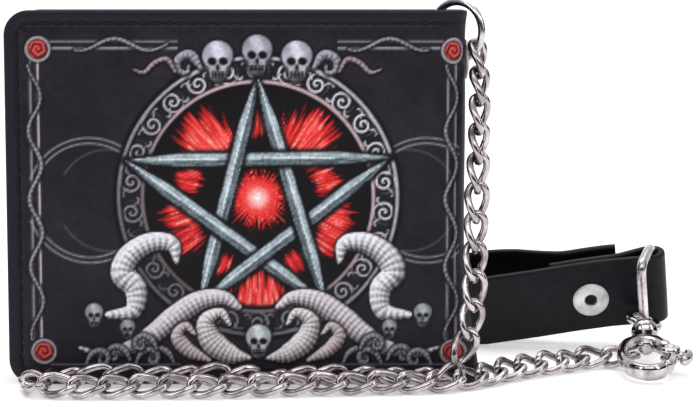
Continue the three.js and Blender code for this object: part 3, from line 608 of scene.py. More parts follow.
def cover_picture(x, z):
    """The printed picture, as sRGB colours at points of the cover: a steel star in a carved ring."""
    cx, cz = PRINT_MIDDLE
    mottle = value_noise(x, z, 9, 1) * 0.5 + value_noise(x, z, 3.5, 2) * 0.3 + value_noise(x, z, 1.3, 3) * 0.2
    picture = tone("#1f1c22") * (0.66 + 0.7 * mottle)[:, None]
    reach, turn = np.hypot(x - cx, z - cz), np.arctan2(z - cz, x - cx)

    # Moon crescents either side of the ring, in thin double lines.
    off_middle = np.abs(z - MOON_HEIGHT)
    for moon, way in ((-34.9, 1), (45.5, -1)):
        away = np.where(x < 54, np.hypot(x - moon, z - MOON_HEIGHT), 99)
        inner = np.hypot(x - moon - 4.5 * way, z - MOON_HEIGHT)
        for size in (15.0, 13.7):
            line = within(np.abs(away - size) - 0.2, 0.4) * (z > 24) * (off_middle > 5)
            ink(picture, "#a9a6b0", 0.8 * line)
        ink(picture, "#77747e", 0.6 * within(np.abs(inner - 12.2) - 0.16, 0.4) * (off_middle > 6))

    # Fiery bursts inside the ring: fine rays that all run out from the star's middle.
    disc = within(reach - FIRE_RADIUS, 0.5)
    ink(picture, "#0d080b", disc)
    rays = value_noise(turn * 20.0, reach * 0.1, 0.5, 20) * 0.6
    rays += value_noise(turn * 34.0, reach * 0.16, 0.5, 40) * 0.5
    heat = np.zeros(len(x))
    for burst_x, burst_z, size, power in FIRE_BURSTS:
        away = np.hypot(x - burst_x, z - burst_z)
        ragged = size * (0.62 + 0.75 * rays)
        heat = np.maximum(heat, power * np.clip(1.25 - (away / ragged) ** 2, 0, 1))
    heat = np.clip(heat * (0.32 + 0.95 * rays), 0, 1)
    heats = [place for place, _ in FIRE_COLOURS]
    shares = np.array([tone(colour) for _, colour in FIRE_COLOURS])
    fire = np.stack([np.interp(heat, heats, share) for share in shares.T], 1)
    ink(picture, fire, disc * np.clip(heat * 3.5, 0, 1))
    streak = np.clip((value_noise(turn * 30.0, reach * 0.2, 0.5, 60) - 0.7) * 5, 0, 1)
    ink(picture, "#ffb3a4", 0.75 * disc * streak * np.clip(heat * 2 - 0.5, 0, 1))

    # The carved ring: pale edges, and a band of scrolls in relief.
    from_ring = reach - RING_RADIUS
    band = within(np.abs(from_ring) - RING_HALF, 0.5)
    ink(picture, "#060608", within(np.abs(from_ring) - RING_HALF - 0.9, 0.9))
    ink(picture, "#19181d", band)
    cell = turn * RING_SCROLLS / (2 * np.pi)
    number = np.floor(cell)
    along = (cell - number - 0.5) * (2 * np.pi * RING_RADIUS / RING_SCROLLS)
    outward = from_ring * np.where(number % 2 == 0, 1, -1)
    curl, curl_turn = np.hypot(along, outward), np.arctan2(outward, along)
    scroll = np.abs(((curl / 1.5 - curl_turn / (2 * np.pi)) % 1.0) - 0.5) * 1.5
    relief = within(scroll - 0.26, 0.3) * within(curl - 2.7, 0.6)
    leaf = within(np.abs(outward - 1.9 * np.sin((np.abs(along) - 1.2) * 0.9)) - 0.3, 0.4)
    leaf = leaf * (np.abs(along) > 1.6)
    lit = np.clip(0.8 + 0.3 * np.sin(turn + 0.6), 0.5, 1)[:, None]
    ink(picture, tone("#eee9ef")[None] * lit, band * np.maximum(relief * 0.95, leaf * 0.8))
    for edge, colour in ((27.6, "#d8b9bd"), (33.3, "#c4c4ce")):
        ink(picture, tone(colour)[None] * lit, 0.95 * within(np.abs(reach - edge) - 0.38, 0.45))
        ink(picture, "#060608", 0.85 * within(np.abs(reach - edge + 0.8) - 0.2, 0.4))

    # The star: five bars, each over the next but one.
    ends = [(STAR_POINTS[k], STAR_POINTS[(k + 1) % 5]) for k in range(5)]
    for a, b in ends:
        draw_bar(picture, x, z, a, b)
    for k in range(5):
        over, under = ends[k], ends[(k + 2) % 5]
        draw_bar(picture, x, z, *over, only=crossing(*over, *under))

    # A glowing orb in the star's middle, with a ragged edge.
    orb = np.hypot(x - cx, z - 45.3)
    fringe = 5.4 + 1.6 * (value_noise(turn * 16.0, reach * 0, 0.5, 70) - 0.5)
    ink(picture, "#e8211c", 0.95 * np.clip((fringe - orb) / 1.6, 0, 1))
    ink(picture, "#ff9a90", 0.9 * np.clip(1 - orb / 4.6, 0, 1) ** 0.8)
    ink(picture, "#fff4f2", np.clip(1 - orb / 3.0, 0, 1) ** 0.9)

    # Ridged horns curling in pairs, small skulls over and under them, and tendrils along the foot.
    for way in (-1, 1):
        for route, widths, dark, light, ridges in HORNS:
            draw_horn(picture, x, z, [(cx + way * px, pz) for px, pz in route], widths, dark, light, ridges)
        for out, foot, turned in TENDRILS:
            route = [(cx + way * (out + turned * px), foot + pz) for px, pz in TENDRIL_CURL]
            draw_horn(picture, x, z, route, [0.3, 0.7, 0.65, 0.5, 0.3], "#101014", "#9c9aa0", 1.1)
        for out, middle, tall, light in SKULLS:
            draw_skull(picture, x, z, cx + way * out, middle, tall, light)
    for middle, tall, light in MIDDLE_SKULLS:
        draw_skull(picture, x, z, cx, middle, tall, light)

    # A frame of paired rods wound with a thin stem, and roundels at its corners.
    for rod_x, colour in UPRIGHT_RODS:
        ink(picture, colour, 0.85 * within(np.abs(x - rod_x) - 0.24, 0.4) * (z > 10) * (z < 78))
    beside_star = (x > -45) * (x < 50) * (np.abs(x - cx) > 19)
    for rod_z, colour in LEVEL_RODS:
        ink(picture, colour, 0.85 * within(np.abs(z - rod_z) - 0.22, 0.4) * beside_star)
    rise = np.linspace(11, 77, 70)
    stems = [np.stack([middle + 1.5 * np.sin(rise / 2.6), rise], 1) for middle in (-47.8, 51.6)]
    for run in (np.linspace(-38, -16, 24), np.linspace(27, 46, 24)):
        stems.append(np.stack([run, 81.8 + 1.4 * np.sin(run / 2.6)], 1))
    for stem in stems:
        draw_horn(picture, x, z, stem, [0.25, 0.42, 0.42, 0.25], "#141317", "#a5a2aa", 1.2)
    for spot_x, spot_z in ROUNDELS:
        away, angle = np.hypot(x - spot_x, z - spot_z), np.arctan2(z - spot_z, x - spot_x)
        ink(picture, "#0b090a", within(away - 3.3, 0.5))
        ink(picture, "#a9a3a8", within(np.abs(away - 2.75) - 0.3, 0.35))
        petals = (0.5 + 0.5 * np.sin(away * 5.2 - angle + 0.6 * np.sin(angle * 5)))[:, None]
        ink(picture, tone("#4a0f10") * (1 - petals) + tone("#e8564e") * petals, within(away - 2.2, 0.4))
    return picture


def cover_border(picture, inside):
    """Leaves the turned edge of the cover plain, a bluish black, with a soft dark line along the stitch line,
    in the seam's valley.
    """
    ink(picture, "#1d1c25", within(inside - PRINT_INSET, 0.6))
    ink(picture, "#08070a", 0.8 * within(np.abs(inside - STITCH_INSET) - 0.25, 0.5))


def cover_sheet(backwards, pitch, step):
    """Builds one half's sheet. Across is the way along the leather from the free edge, round the spine."""
    flat = WALLET_RIGHT - SPINE_BEND - WALLET_LEFT
    bend = SPINE_BEND * math.pi / 2
    side = 2 * (WALLET_FACE - SPINE_BEND)
    fold = SPINE_BEND * math.radians(FOLD_ANGLE)
    long = flat + bend - fold if backwards else flat + bend + side + fold
    across = spaced(0, long, pitch, step, True, False)
    up = spaced(0, WALLET_TOP, pitch, step)
    s, z = np.meshgrid(across, up)
    s = s + corner_cut(z, 0, WALLET_TOP, COVER_CORNER) * np.clip(1 - s / 22, 0, 1)
    inside = inset_of(s, z, 0, NO_EDGE, 0, WALLET_TOP, COVER_CORNER)

    turn1 = np.clip((s - flat) / SPINE_BEND, 0, math.pi / 2)
    turn2 = np.clip((s - flat - bend - side) / SPINE_BEND, 0, math.pi / 2) if not backwards else 0 * s
    on_flat = np.minimum(s, flat)
    on_side = np.clip(s - flat - bend, 0, side)
    angle = -math.pi / 2 + turn1 + turn2
    centre_x = WALLET_LEFT + on_flat
    centre_y = -(WALLET_FACE - SPINE_BEND) + on_side
    normal = np.stack([np.cos(angle), np.sin(angle), 0 * s], -1)

    # A soft swell inside the seam, a valley along the stitches, slight waves, and a spread at the foot and
    # head of the spine, where the leather has loosened.
    groove = np.exp(-(((inside - STITCH_INSET) / SEAM_WIDE) ** 2)) * np.clip((flat + 1 - s) / 3, 0, 1)
    swell = SWELL * np.clip((inside - STITCH_INSET) / 2.2, 0, 1) * np.clip((flat + 2 - s) / 8, 0, 1)
    wave = WAVE * np.sin(s / 17 + z / 23) * np.sin(z / 13 + 1.0) * np.clip(inside / 6, 0, 1)
    lift = swell + wave - SEAM_DEEP * groove - rounded_in(inside, COVER_THICKNESS / 2)
    spread = FOOT_SPREAD * np.clip(1 - z / 30, 0, 1) ** 1.3 + HEAD_SPREAD * np.clip((z - 84) / 6, 0, 1) ** 2
    spread_long = SPREAD_FROM + (bend - fold if backwards else bend)
    spread = spread * np.clip((s - flat + SPREAD_FROM) / spread_long, 0, 1) ** 2
    radius = SPINE_BEND + lift
    outer = np.stack([centre_x, centre_y, z], -1) + normal * radius[..., None]
    outer[..., 0] += spread
    inner_radius = SPINE_BEND - COVER_THICKNESS + rounded_in(inside, COVER_THICKNESS / 2)
    inner = np.stack([centre_x, centre_y, z], -1) + normal * inner_radius[..., None]
    inner[..., 0] += spread
    if backwards:
        outer[..., 1] *= -1
        inner[..., 1] *= -1
        outer, inner = outer[:, ::-1], inner[:, ::-1]
    return slab(outer, inner, step)


# The back's picture is drawn in a little, so that it fits between the turned edge and the hinge.
BACK_PRINT_SCALE, BACK_PRINT_SHIFT = 1.034, 2.1
PRINTED_DEPTH = 1.1  # how far into the leather's thickness a corner still counts as its outer face


def colour_cover(piece, backwards):
    """Writes the print into the sheet's colour attribute, from each corner's own place."""
    mesh = piece.data
    place = np.array([v.co for v in mesh.vertices], float) / MM
    x, y, z = place.T
    flat_end = WALLET_RIGHT - SPINE_BEND
    past_bend = np.clip(x - flat_end, 0, None)
    if backwards:
        across = BACK_PRINT_SHIFT - BACK_PRINT_SCALE * x
        outer_face = y > WALLET_FACE - PRINTED_DEPTH
    else:
        from_middle = y + WALLET_FACE - SPINE_BEND
        bent = SPINE_BEND * np.clip(np.arctan2(past_bend, -from_middle), 0, math.pi / 2)
        across = np.where(x > flat_end, flat_end + bent + np.clip(from_middle, 0, None), x)
        round_spine = np.hypot(past_bend, np.clip(np.abs(y) - (WALLET_FACE - SPINE_BEND), 0, None))
        outer_face = (y < PRINTED_DEPTH - WALLET_FACE) | (round_spine > SPINE_BEND - COVER_THICKNESS / 2)
    inside = inset_of(x, z, WALLET_LEFT, NO_EDGE, 0, WALLET_TOP, COVER_CORNER)
    picture = cover_picture(across, z)
    cover_border(picture, inside)
    picture[~outer_face] = tone("#1d1c21")
    colours = np.concatenate([linear(picture), np.ones((len(picture), 1))], 1).astype(np.float32)
    attribute = mesh.color_attributes.new("print", "FLOAT_COLOR", "POINT")
    attribute.data.foreach_set("color", colours.ravel())


def printed_leather():
    """Coated leather with a heat-transferred print: a smooth, half-gloss coat over a very fine grain."""
    grain_mm, speck_mm, cloud_mm = 0.55, 0.7, 11
    material, shader, place = start_material(
        "heat_printed_coated_leather", Specular_IOR_Level=0.14, Coat_Weight=0.04, Coat_Roughness=0.28
    )
    printed = add_node(material, "ShaderNodeVertexColor", layer_name="print").outputs["Color"]
    speck = add_node(
        material, "ShaderNodeTexNoise", {"Vector": place, "Scale": 1 / (speck_mm * MM), "Detail": 4.0}
    ).outputs["Fac"]
    worn = add_node(
        material, "ShaderNodeValToRGB", {"Fac": speck}, stops=[(0.3, "#d6d6d8"), (0.6, "#ffffff")]
    ).outputs["Color"]
    add_node(
        material,
        "ShaderNodeMix",
        {"Factor": 0.8, 6: printed, 7: worn},
        {2: shader["Base Color"]},
        data_type="RGBA",
        blend_type="MULTIPLY",
    )
    cloud = add_node(
        material, "ShaderNodeTexNoise", {"Vector": place, "Scale": 1 / (cloud_mm * MM), "Detail": 3.0}
    ).outputs["Fac"]
    add_node(
        material,
        "ShaderNodeMapRange",
        {"Value": cloud, "To Min": 0.34, "To Max": 0.52},
        {"Result": shader["Roughness"]},
    )
    grain = add_node(
        material,
        "ShaderNodeTexVoronoi",
        {"Vector": place, "Scale": 1 / (grain_mm * MM)},
        feature="DISTANCE_TO_EDGE",
    ).outputs["Distance"]
    add_node(
        material,
        "ShaderNodeBump",
        {"Height": grain, "Strength": 0.18, "Distance": 0.06 * MM},
        {"Normal": shader["Normal"]},
    )
    return material


# The spacing of the sheets' corners in mm carries the print: fine in front, a little coarser behind.
FRONT_PITCH, BACK_PITCH = ((0.355, 0.4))
INNER_STEP = 6
cover_leather = printed_leather()
front_cover = finish_piece(
    "printed_front_cover", cover_sheet(False, FRONT_PITCH, INNER_STEP), cover_leather
)


def punch_hole(piece, place, radius):
    """Punches a round hole through a piece, along X."""
    cutter_mesh = bpy.data.meshes.new("punch")
    reach = np.array([6, 0, 0])
    verts, faces = tube([place - reach, place + reach], radius, (0, 0, 1), 32)
    cutter_mesh.from_pydata((verts * MM).tolist(), [], faces)
    cutter = bpy.data.objects.new("punch", cutter_mesh)
    bpy.context.scene.collection.objects.link(cutter)
    modifier = piece.modifiers.new("hole", "BOOLEAN")
    modifier.operation, modifier.object, modifier.solver = "DIFFERENCE", cutter, "EXACT"
    bpy.context.view_layer.update()
    evaluated = piece.evaluated_get(bpy.context.evaluated_depsgraph_get())
    cut = bpy.data.meshes.new_from_object(evaluated)
    piece.modifiers.clear()
    old = piece.data
    piece.data = cut
    bpy.data.meshes.remove(old)
    bpy.data.objects.remove(cutter)
    bpy.data.meshes.remove(cutter_mesh)


EYELET_HOLE = 3.5
eyelet_low, eyelet_high = node_box("eyelet")
EYELET_HEIGHT = (eyelet_low[2] + eyelet_high[2]) / 2
punch_hole(front_cover, np.array([WALLET_RIGHT, 0, EYELET_HEIGHT]), EYELET_HOLE)
colour_cover(front_cover, False)
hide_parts("front_cover")
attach(front_cover, "front_half")

back_cover = finish_piece(
    "printed_back_cover", cover_sheet(True, BACK_PITCH, INNER_STEP), cover_leather
)
colour_cover(back_cover, True)
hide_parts("back_cover")
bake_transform(back_cover)


# ---------------------------------------------------------------- edge stitching
# Waxed black polyester thread, about 0.6 mm thick, sewn as a lockstitch along three edges of each half.
# Each stitch bows up a little and dips into its holes at both ends.
STITCH_PITCH = 2.9
STITCH_BOW, STITCH_SUNK = 0.34, 0.26
THREAD_RADIUS = 0.33
THREAD_IN_GROOVE = 0.12
SEAM_END = 49.5


def thread_material():
    """Waxed polyester thread: three strands laid together, so slanting ridges with a dull shine."""
    wave_mm = 2.6  # slanting bands of a wave texture come every 0.63 units, so 1.6 mm along the thread
    material, shader, place = start_material(
        "waxed_black_polyester_thread", Roughness=0.6, Specular_IOR_Level=0.2, Sheen_Weight=0.05
    )
    strands = add_node(
        material,
        "ShaderNodeTexWave",
        {"Vector": place, "Scale": 1 / (wave_mm * MM), "Distortion": 0.6},
        bands_direction="DIAGONAL",
    ).outputs["Fac"]
    add_node(
        material,
        "ShaderNodeValToRGB",
        {"Fac": strands},
        {"Color": shader["Base Color"]},
        stops=[(0.2, "#050507"), (0.8, "#121116")],
    )
    add_node(
        material,
        "ShaderNodeBump",
        {"Height": strands, "Strength": 0.5, "Distance": 0.1 * MM},
        {"Normal": shader["Normal"]},
    )
    return material


def stitches(route, outward):
    """A row of stitches along a route: short bowed lengths of thread with their ends sunk."""
    route = through(route, 0.25)
    far = arc_lengths(route)
    outward = np.asarray(outward, float)
    parts = []
    for k in range(int(far[-1] / STITCH_PITCH)):
        share = np.linspace(0.0, 1.0, 7)
        places = k * STITCH_PITCH + STITCH_PITCH * (0.1 + 0.8 * share)
        line = np.stack([np.interp(places, far, route[:, axis]) for axis in range(3)], 1)
        line = line + outward * (np.sin(share * math.pi)[:, None] ** 0.6 * STITCH_BOW - STITCH_SUNK)
        thick = THREAD_RADIUS * (0.72 + 0.28 * np.sin(share * math.pi))
        parts.append(tube(line, thick, outward, 8))
    return joined(parts)


def edge_route(y):
    """The seam round the free edges at one face: along the top, down the free edge, and along the foot."""
    round_off = COVER_CORNER - STITCH_INSET
    low_x, top, foot = WALLET_LEFT + STITCH_INSET, WALLET_TOP - STITCH_INSET, STITCH_INSET
    turns = np.linspace(0.2, 1.37, 4)
    corner = [(low_x + round_off * (1 - math.sin(a)), round_off * (1 - math.cos(a))) for a in turns]
    points = [(x, top) for x in np.linspace(SEAM_END, low_x + round_off + 1, 12)]
    points += [(x, top - d) for x, d in corner]
    points += [(low_x, z) for z in np.linspace(top - round_off - 1, foot + round_off + 1, 10)]
    points += [(x, foot + d) for x, d in reversed(corner)]
    points += [(x, foot) for x in np.linspace(low_x + round_off + 1, SEAM_END, 12)]
    return [(x, y, z) for x, z in points]


black_thread = thread_material()
for name, y, outward, body in (
    ("front_stitching", -WALLET_FACE + THREAD_IN_GROOVE, (0, -1, 0), "front_half"),
    ("back_stitching", WALLET_FACE - THREAD_IN_GROOVE, (0, 1, 0), "back_half"),
):
    finish_piece(name, stitches(edge_route(y), outward), black_thread, body)


# ---------------------------------------------------------------- linings, board, pockets and window
# Inside each half a foam board is covered with woven lining, and the card pockets of thin black
# leather are laid over it in steps, each with a creased lip. The other half has a clear window.
def black_leather(name, dark, light, roughness, grain_mm, lustre):
    """Drum-dyed bovine leather: near black, pebbled by its grain, with a waxy, uneven half shine."""
    dye_mm, crease_mm = 3.2, 9
    constants = {"Specular_IOR_Level": 0.14, "Coat_Weight": lustre, "Coat_Roughness": 0.35}
    material, shader, place = start_material(name, **constants)
    dye = add_node(
        material, "ShaderNodeTexNoise", {"Vector": place, "Scale": 1 / (dye_mm * MM), "Detail": 3.0}
    ).outputs["Fac"]
    add_node(
        material,
        "ShaderNodeValToRGB",
        {"Fac": dye},
        {"Color": shader["Base Color"]},
        stops=[(0.3, dark), (0.72, light)],
    )
    crease = add_node(
        material,
        "ShaderNodeTexNoise",
        {"Vector": place, "Scale": 1 / (crease_mm * MM), "Detail": 6.0, "Distortion": 0.7},
    ).outputs["Fac"]
    spread = {"From Min": 0.35, "From Max": 0.65, "To Min": roughness - 0.08, "To Max": roughness + 0.1}
    add_node(material, "ShaderNodeMapRange", {"Value": crease, **spread}, {"Result": shader["Roughness"]})
    wrinkle = add_node(
        material, "ShaderNodeBump", {"Height": crease, "Strength": 0.25, "Distance": 0.35 * MM}
    ).outputs["Normal"]
    pebble = add_node(
        material,
        "ShaderNodeTexVoronoi",
        {"Vector": place, "Scale": 1 / (grain_mm * MM), "Randomness": 0.95},
        feature="SMOOTH_F1",
    ).outputs["Distance"]
    add_node(
        material,
        "ShaderNodeBump",
        {"Height": pebble, "Strength": 0.35, "Distance": 0.12 * MM, "Normal": wrinkle},
        {"Normal": shader["Normal"]},
    )
    return material


def woven_lining():
    """Polyester twill: soft and dull. Its threads are about 0.3 mm apart, drawn at 1 mm so that they show."""
    wave_mm = 3.1  # a wave texture has a band every 0.31 units, so this draws them 1 mm apart
    material, shader, place = start_material(
        "polyester_twill_lining", Roughness=0.85, Sheen_Weight=0.4, Sheen_Roughness=0.4
    )
    warp, weft = (
        add_node(
            material, "ShaderNodeTexWave", {"Vector": place, "Scale": 1 / (wave_mm * MM)}, bands_direction=way
        ).outputs["Fac"]
        for way in ("DIAGONAL", "Z")
    )
    cross = add_node(material, "ShaderNodeMath", {0: warp, 1: weft}, operation="MULTIPLY").outputs["Value"]
    add_node(
        material,
        "ShaderNodeValToRGB",
        {"Fac": cross},
        {"Color": shader["Base Color"]},
        stops=[(0.1, "#101014"), (0.8, "#26262c")],
    )
    add_node(
        material,
        "ShaderNodeBump",
        {"Height": cross, "Strength": 0.4, "Distance": 0.1 * MM},
        {"Normal": shader["Normal"]},
    )
    return material


def board_foam():
    """Grey polyethylene foam board: closed cells, matt, with a faint speckle."""
    cell_mm = 0.8
    material, shader, place = start_material("closed_cell_foam_board", Roughness=0.92)
    cells = add_node(
        material, "ShaderNodeTexVoronoi", {"Vector": place, "Scale": 1 / (cell_mm * MM)}
    ).outputs["Distance"]
    add_node(
        material,
        "ShaderNodeValToRGB",
        {"Fac": cells},
        {"Color": shader["Base Color"]},
        stops=[(0.1, "#3f3e3b"), (0.6, "#66635e")],
    )
    add_node(
        material,
        "ShaderNodeBump",
        {"Height": cells, "Strength": 0.4, "Distance": 0.12 * MM},
        {"Normal": shader["Normal"]},
    )
    return material


def clear_film():
    """Soft PVC film: clear and glossy, faintly blue, with handling haze."""
    haze_mm = 14
    material, shader, place = start_material("clear_pvc_film", IOR=1.53, Transmission_Weight=0.92)
    haze = add_node(
        material, "ShaderNodeTexNoise", {"Vector": place, "Scale": 1 / (haze_mm * MM), "Detail": 4.0}
    ).outputs["Fac"]
    add_node(
        material,
        "ShaderNodeValToRGB",
        {"Fac": haze},
        {"Color": shader["Base Color"]},
        stops=[(0.3, "#dde6ea"), (0.7, "#f3f7f9")],
    )
    add_node(
        material,
        "ShaderNodeMapRange",
        {"Value": haze, "To Min": 0.06, "To Max": 0.2},
        {"Result": shader["Roughness"]},
    )
    return material


pocket_leather = black_leather("thin_black_pocket_leather", "#151419", "#232129", 0.5, 0.6, 0.06)
lining_cloth = woven_lining()
foam_board = board_foam()
pvc_film = clear_film()
CORNER_BLEND = 25  # how far from its end a panel's rows are drawn in to follow the rounded corner
LIP_LINE, LIP_WIDE = 1.98, 0.22  # the pressed line's place below a panel's lip, and its width


def soft_panel(name, node, material, body, corner, both=False, crease=True, pitch=2.4, ripple=0.05):
    """A cut panel in its node's box, with rounded corners, a pressed line by its lip and slight ripples."""
    low, high = node_box(node)
    thick = high[1] - low[1]
    across = spaced(low[0], high[0], pitch)
    up = spaced(low[2], high[2], pitch)
    up = np.sort(np.concatenate([up, high[2] - np.array([1.6, 1.85, 2.1, 2.35])]))
    x, z = np.meshgrid(across, up)
    cut = corner_cut(z, low[2], high[2], corner)
    x = x + cut * np.clip(1 - (x - low[0]) / CORNER_BLEND, 0, 1)
    if both:
        x = x - cut * np.clip(1 - (high[0] - x) / CORNER_BLEND, 0, 1)
    inside = inset_of(x, z, low[0], high[0], low[2], high[2], corner, corner if both else 0.0)
    round_off = rounded_in(inside, thick * 0.45)
    pressed = 0.14 * thick * np.exp(-(((high[2] - z - LIP_LINE) / LIP_WIDE) ** 2)) if crease else 0
    wave = ripple * np.sin(x / 9.0 + low[1]) * np.sin(z / 12.0 + low[1] * 2) * np.clip(inside / 4, 0, 1)
    front = np.stack([x, low[1] + round_off + pressed + wave, z], -1)
    back = np.stack([x, high[1] - round_off - pressed + wave, z], -1)
    return finish_piece(name, slab(front, back), material, body, [node])


for half in ("front", "back"):
    body, padding, lining = f"{half}_half", f"{half}_padding", f"{half}_lining"
    board = soft_panel(f"{half}_foam_board", padding, foam_board, body, 3, crease=False)
    cloth = soft_panel(f"{half}_lining_cloth", lining, lining_cloth, body, 3, crease=False)
divider = soft_panel("note_divider_cloth", "note_divider", lining_cloth, "back_half", 2)
FRONT_POCKETS = ["front_pocket_base", "front_card_pocket_1", "front_card_pocket_2", "front_card_pocket_3"]
BACK_POCKETS = ["back_pocket_base", "back_card_pocket"]
for nodes, body in ((FRONT_POCKETS, "front_half"), (BACK_POCKETS, "back_half")):
    for node in nodes:
        soft_panel(f"{node}_leather", node, pocket_leather, body, 2)
soft_panel(
    "window_film_sheet",
    "window_film",
    pvc_film,
    "back_half",
    1,
    both=True,
    crease=False,
    ripple=0.03,
)


WINDOW_BORDER, WINDOW_CORNER = 6.0, 2.0
# The surround's section: share of the border's width, and share of its thickness.
SURROUND_SECTION = [
    (0.0, 0.5), (0.02, 0.2), (0.07, 0.0), (0.25, -0.05), (0.5, 0.0), (0.75, -0.05), (0.93, 0.0),
    (0.98, 0.2), (1.0, 0.5),
]


def wrapped(grid):
    """Corners and faces of a closed form from a grid of corners that meets itself both ways round."""
    rows, columns = grid.shape[:2]
    faces = []
    for i in range(rows):
        this, after = i * columns, (i + 1) % rows * columns
        for j in range(columns):
            k = (j + 1) % columns
            faces.append([this + j, this + k, after + k, after + j])
    return grid.reshape(-1, 3), faces


def window_surround():
    """The leather frame over the film: a rounded rectangle with a rounded opening, as one ring of leather."""
    low, high = node_box("window_frame")
    middle, half = (low + high) / 2, (high - low) / 2
    ring = []
    for corner_x, corner_z, start in ((1, 1, 0), (-1, 1, 90), (-1, -1, 180), (1, -1, 270)):
        for a in np.radians(np.linspace(start, start + 90, 9)):
            ring.append((corner_x, corner_z, math.cos(a), math.sin(a)))
    corner_x, corner_z, round_x, round_z = np.array(ring).T
    rows = []
    for share, drop in SURROUND_SECTION + [(s, 1 - d) for s, d in SURROUND_SECTION[-2:0:-1]]:
        inset = WINDOW_BORDER * share + WINDOW_CORNER
        x = middle[0] + corner_x * (half[0] - inset) + WINDOW_CORNER * round_x
        z = middle[2] + corner_z * (half[2] - inset) + WINDOW_CORNER * round_z
        y = low[1] + 2 * half[1] * drop
        rows.append(np.stack([x, np.full(len(x), y), z], 1))
    return wrapped(np.array(rows))


finish_piece(
    "window_surround", window_surround(), pocket_leather, "back_half", ["window_frame"]
)


# ---------------------------------------------------------------- wallet ring in its eyelet
# A welded ring of bright steel wire runs through a rolled brass eyelet in the spine. The eyelet is
# clinched over a washer inside the spine, so that the ring can't tear the leather.
# Chrome plate over steel wire: nearly a mirror, a little warm and hazy from handling.
chrome_wire = plated_metal("polished_chrome_plated_steel", "#8f888a", "#ded9d9", 0.18, 1.4)
# Nickel plate over pressed brass: pale, with a satin finish that blurs what it reflects.
nickel_press = plated_metal("satin_nickel_plated_pressing", "#c9c6c8", "#f0eeef", 0.46, 0.5)


def lathe(profile, segments=48):
    """A turned form about Z from a closed profile of (radius, height) places."""
    radius, height = np.asarray(profile, float).T[:, :, None]
    turn = np.arange(segments) * 2 * np.pi / segments
    return wrapped(np.stack([radius * np.cos(turn), radius * np.sin(turn), height + 0 * turn], -1))


MOST_EASED = 0.45  # of a profile's side, so that two rounded corners on it don't meet


def eased(profile, radius):
    """Rounds every corner of a closed profile."""
    profile = [np.array(p, float) for p in profile]
    out = []
    for i, corner in enumerate(profile):
        before, after = profile[i - 1], profile[(i + 1) % len(profile)]
        back = before - corner
        ahead = after - corner
        reach = min(radius, MOST_EASED * np.linalg.norm(back), MOST_EASED * np.linalg.norm(ahead))
        a = corner + back / np.linalg.norm(back) * reach
        b = corner + ahead / np.linalg.norm(ahead) * reach
        for t in (0, 0.25, 0.5, 0.75, 1):
            out.append((1 - t) ** 2 * a + 2 * t * (1 - t) * corner + t * t * b)
    return out


def moved(part, matrix):
    """A part's corners and faces, placed by a matrix whose offsets are in mm."""
    verts, faces = part
    matrix = np.array(matrix)
    return verts @ matrix[:3, :3].T + matrix[:3, 3], faces


washer_low, washer_high = node_box("eyelet_washer")
BORE, BARREL, FLANGE = 2.8, 3.2, 4.8
WASHER_BORE = BARREL + 0.25
head, foot = eyelet_high[0], eyelet_low[0]
rolled = [
    (BORE, foot), (BARREL, foot), (BARREL, head - 0.6), (FLANGE, head - 0.7), (FLANGE - 0.1, head - 0.2),
    (FLANGE - 0.9, head), (BORE + 0.5, head), (BORE, head - 0.5),
]
clinched = [
    (WASHER_BORE, washer_low[0]), (FLANGE, washer_low[0] + 0.15), (FLANGE, washer_high[0]),
    (WASHER_BORE, washer_high[0]),
]
to_spine = Matrix.Translation((0, 0, EYELET_HEIGHT)) @ Matrix.Rotation(math.radians(90), 4, "Y")
eyelet = moved(lathe(eased(rolled, 0.3)), to_spine)
finish_piece("rolled_eyelet", eyelet, nickel_press, "front_half", ["eyelet"])
washer = moved(lathe(eased(clinched, 0.2)), to_spine)
finish_piece("clinched_washer", washer, nickel_press, "front_half", ["eyelet_washer"])

RING_WIRE = 1.8
RING_TURN = math.radians(36)
ring_low, ring_high = node_box("wallet_ring")
ring_middle = (ring_high[2] - ring_low[2] - RING_WIRE) / 2
ring_way, ring_up = np.array([math.cos(RING_TURN), -math.sin(RING_TURN), 0]), np.array([0, 0, 1.0])
turn = np.linspace(0, 2 * np.pi, 96, endpoint=False)[:, None]
ring_line = (ring_low + ring_high) / 2 + ring_middle * (np.cos(turn) * ring_way + np.sin(turn) * ring_up)
wallet_ring = tube(ring_line, RING_WIRE / 2, np.cross(ring_way, ring_up), 20, True)
finish_piece("bright_wallet_ring", wallet_ring, chrome_wire, "ring", ["wallet_ring"])


# ---------------------------------------------------------------- belt strap
# One strip of black bridle leather, 20 mm wide and 1.8 mm thick with eased, inked edges: round the
# ring's bar, along the front, round the belt space, and back to a press stud.
STRAP_THICKNESS, STRAP_WIDE, STRAP_LONG = 1.8, 20.0, 45.0
STRAP_GAP = 0.3
BELT_BEND = 7.5
BAR_RADIUS = 1.3
RING_FOLD = 2.6
RETURN_SIDE = STRAP_THICKNESS + STRAP_GAP - RING_FOLD
BEND_MIDDLE = BELT_BEND - RING_FOLD
TAIL_SIDE = 5.3
TAIL_ROOT = (-43.8, 12.4)
BEND_SPLIT = 108  # degrees round the belt bend, where the tail's leather takes over from the front's
# The strap's own frame: X from the belt bend to the ring's bar, Y to the back, Z across its width.
strap_place = (
    Matrix.Translation((109, 44, 7.1))
    @ Matrix.Rotation(math.radians(20), 4, "X")
    @ Matrix.Rotation(math.radians(-6.6), 4, "Y")
)
strap_leather = black_leather("black_bridle_leather", "#09080c", "#14131b", 0.4, 0.9, 0.08)


def turned_line(cx, cy, radius, start, end, count):
    """Places along an arc, from its middle, its radius and its angles in degrees."""
    angles = np.radians(np.linspace(start, end, count))
    return [(cx + radius * math.cos(a), cy + radius * math.sin(a)) for a in angles]


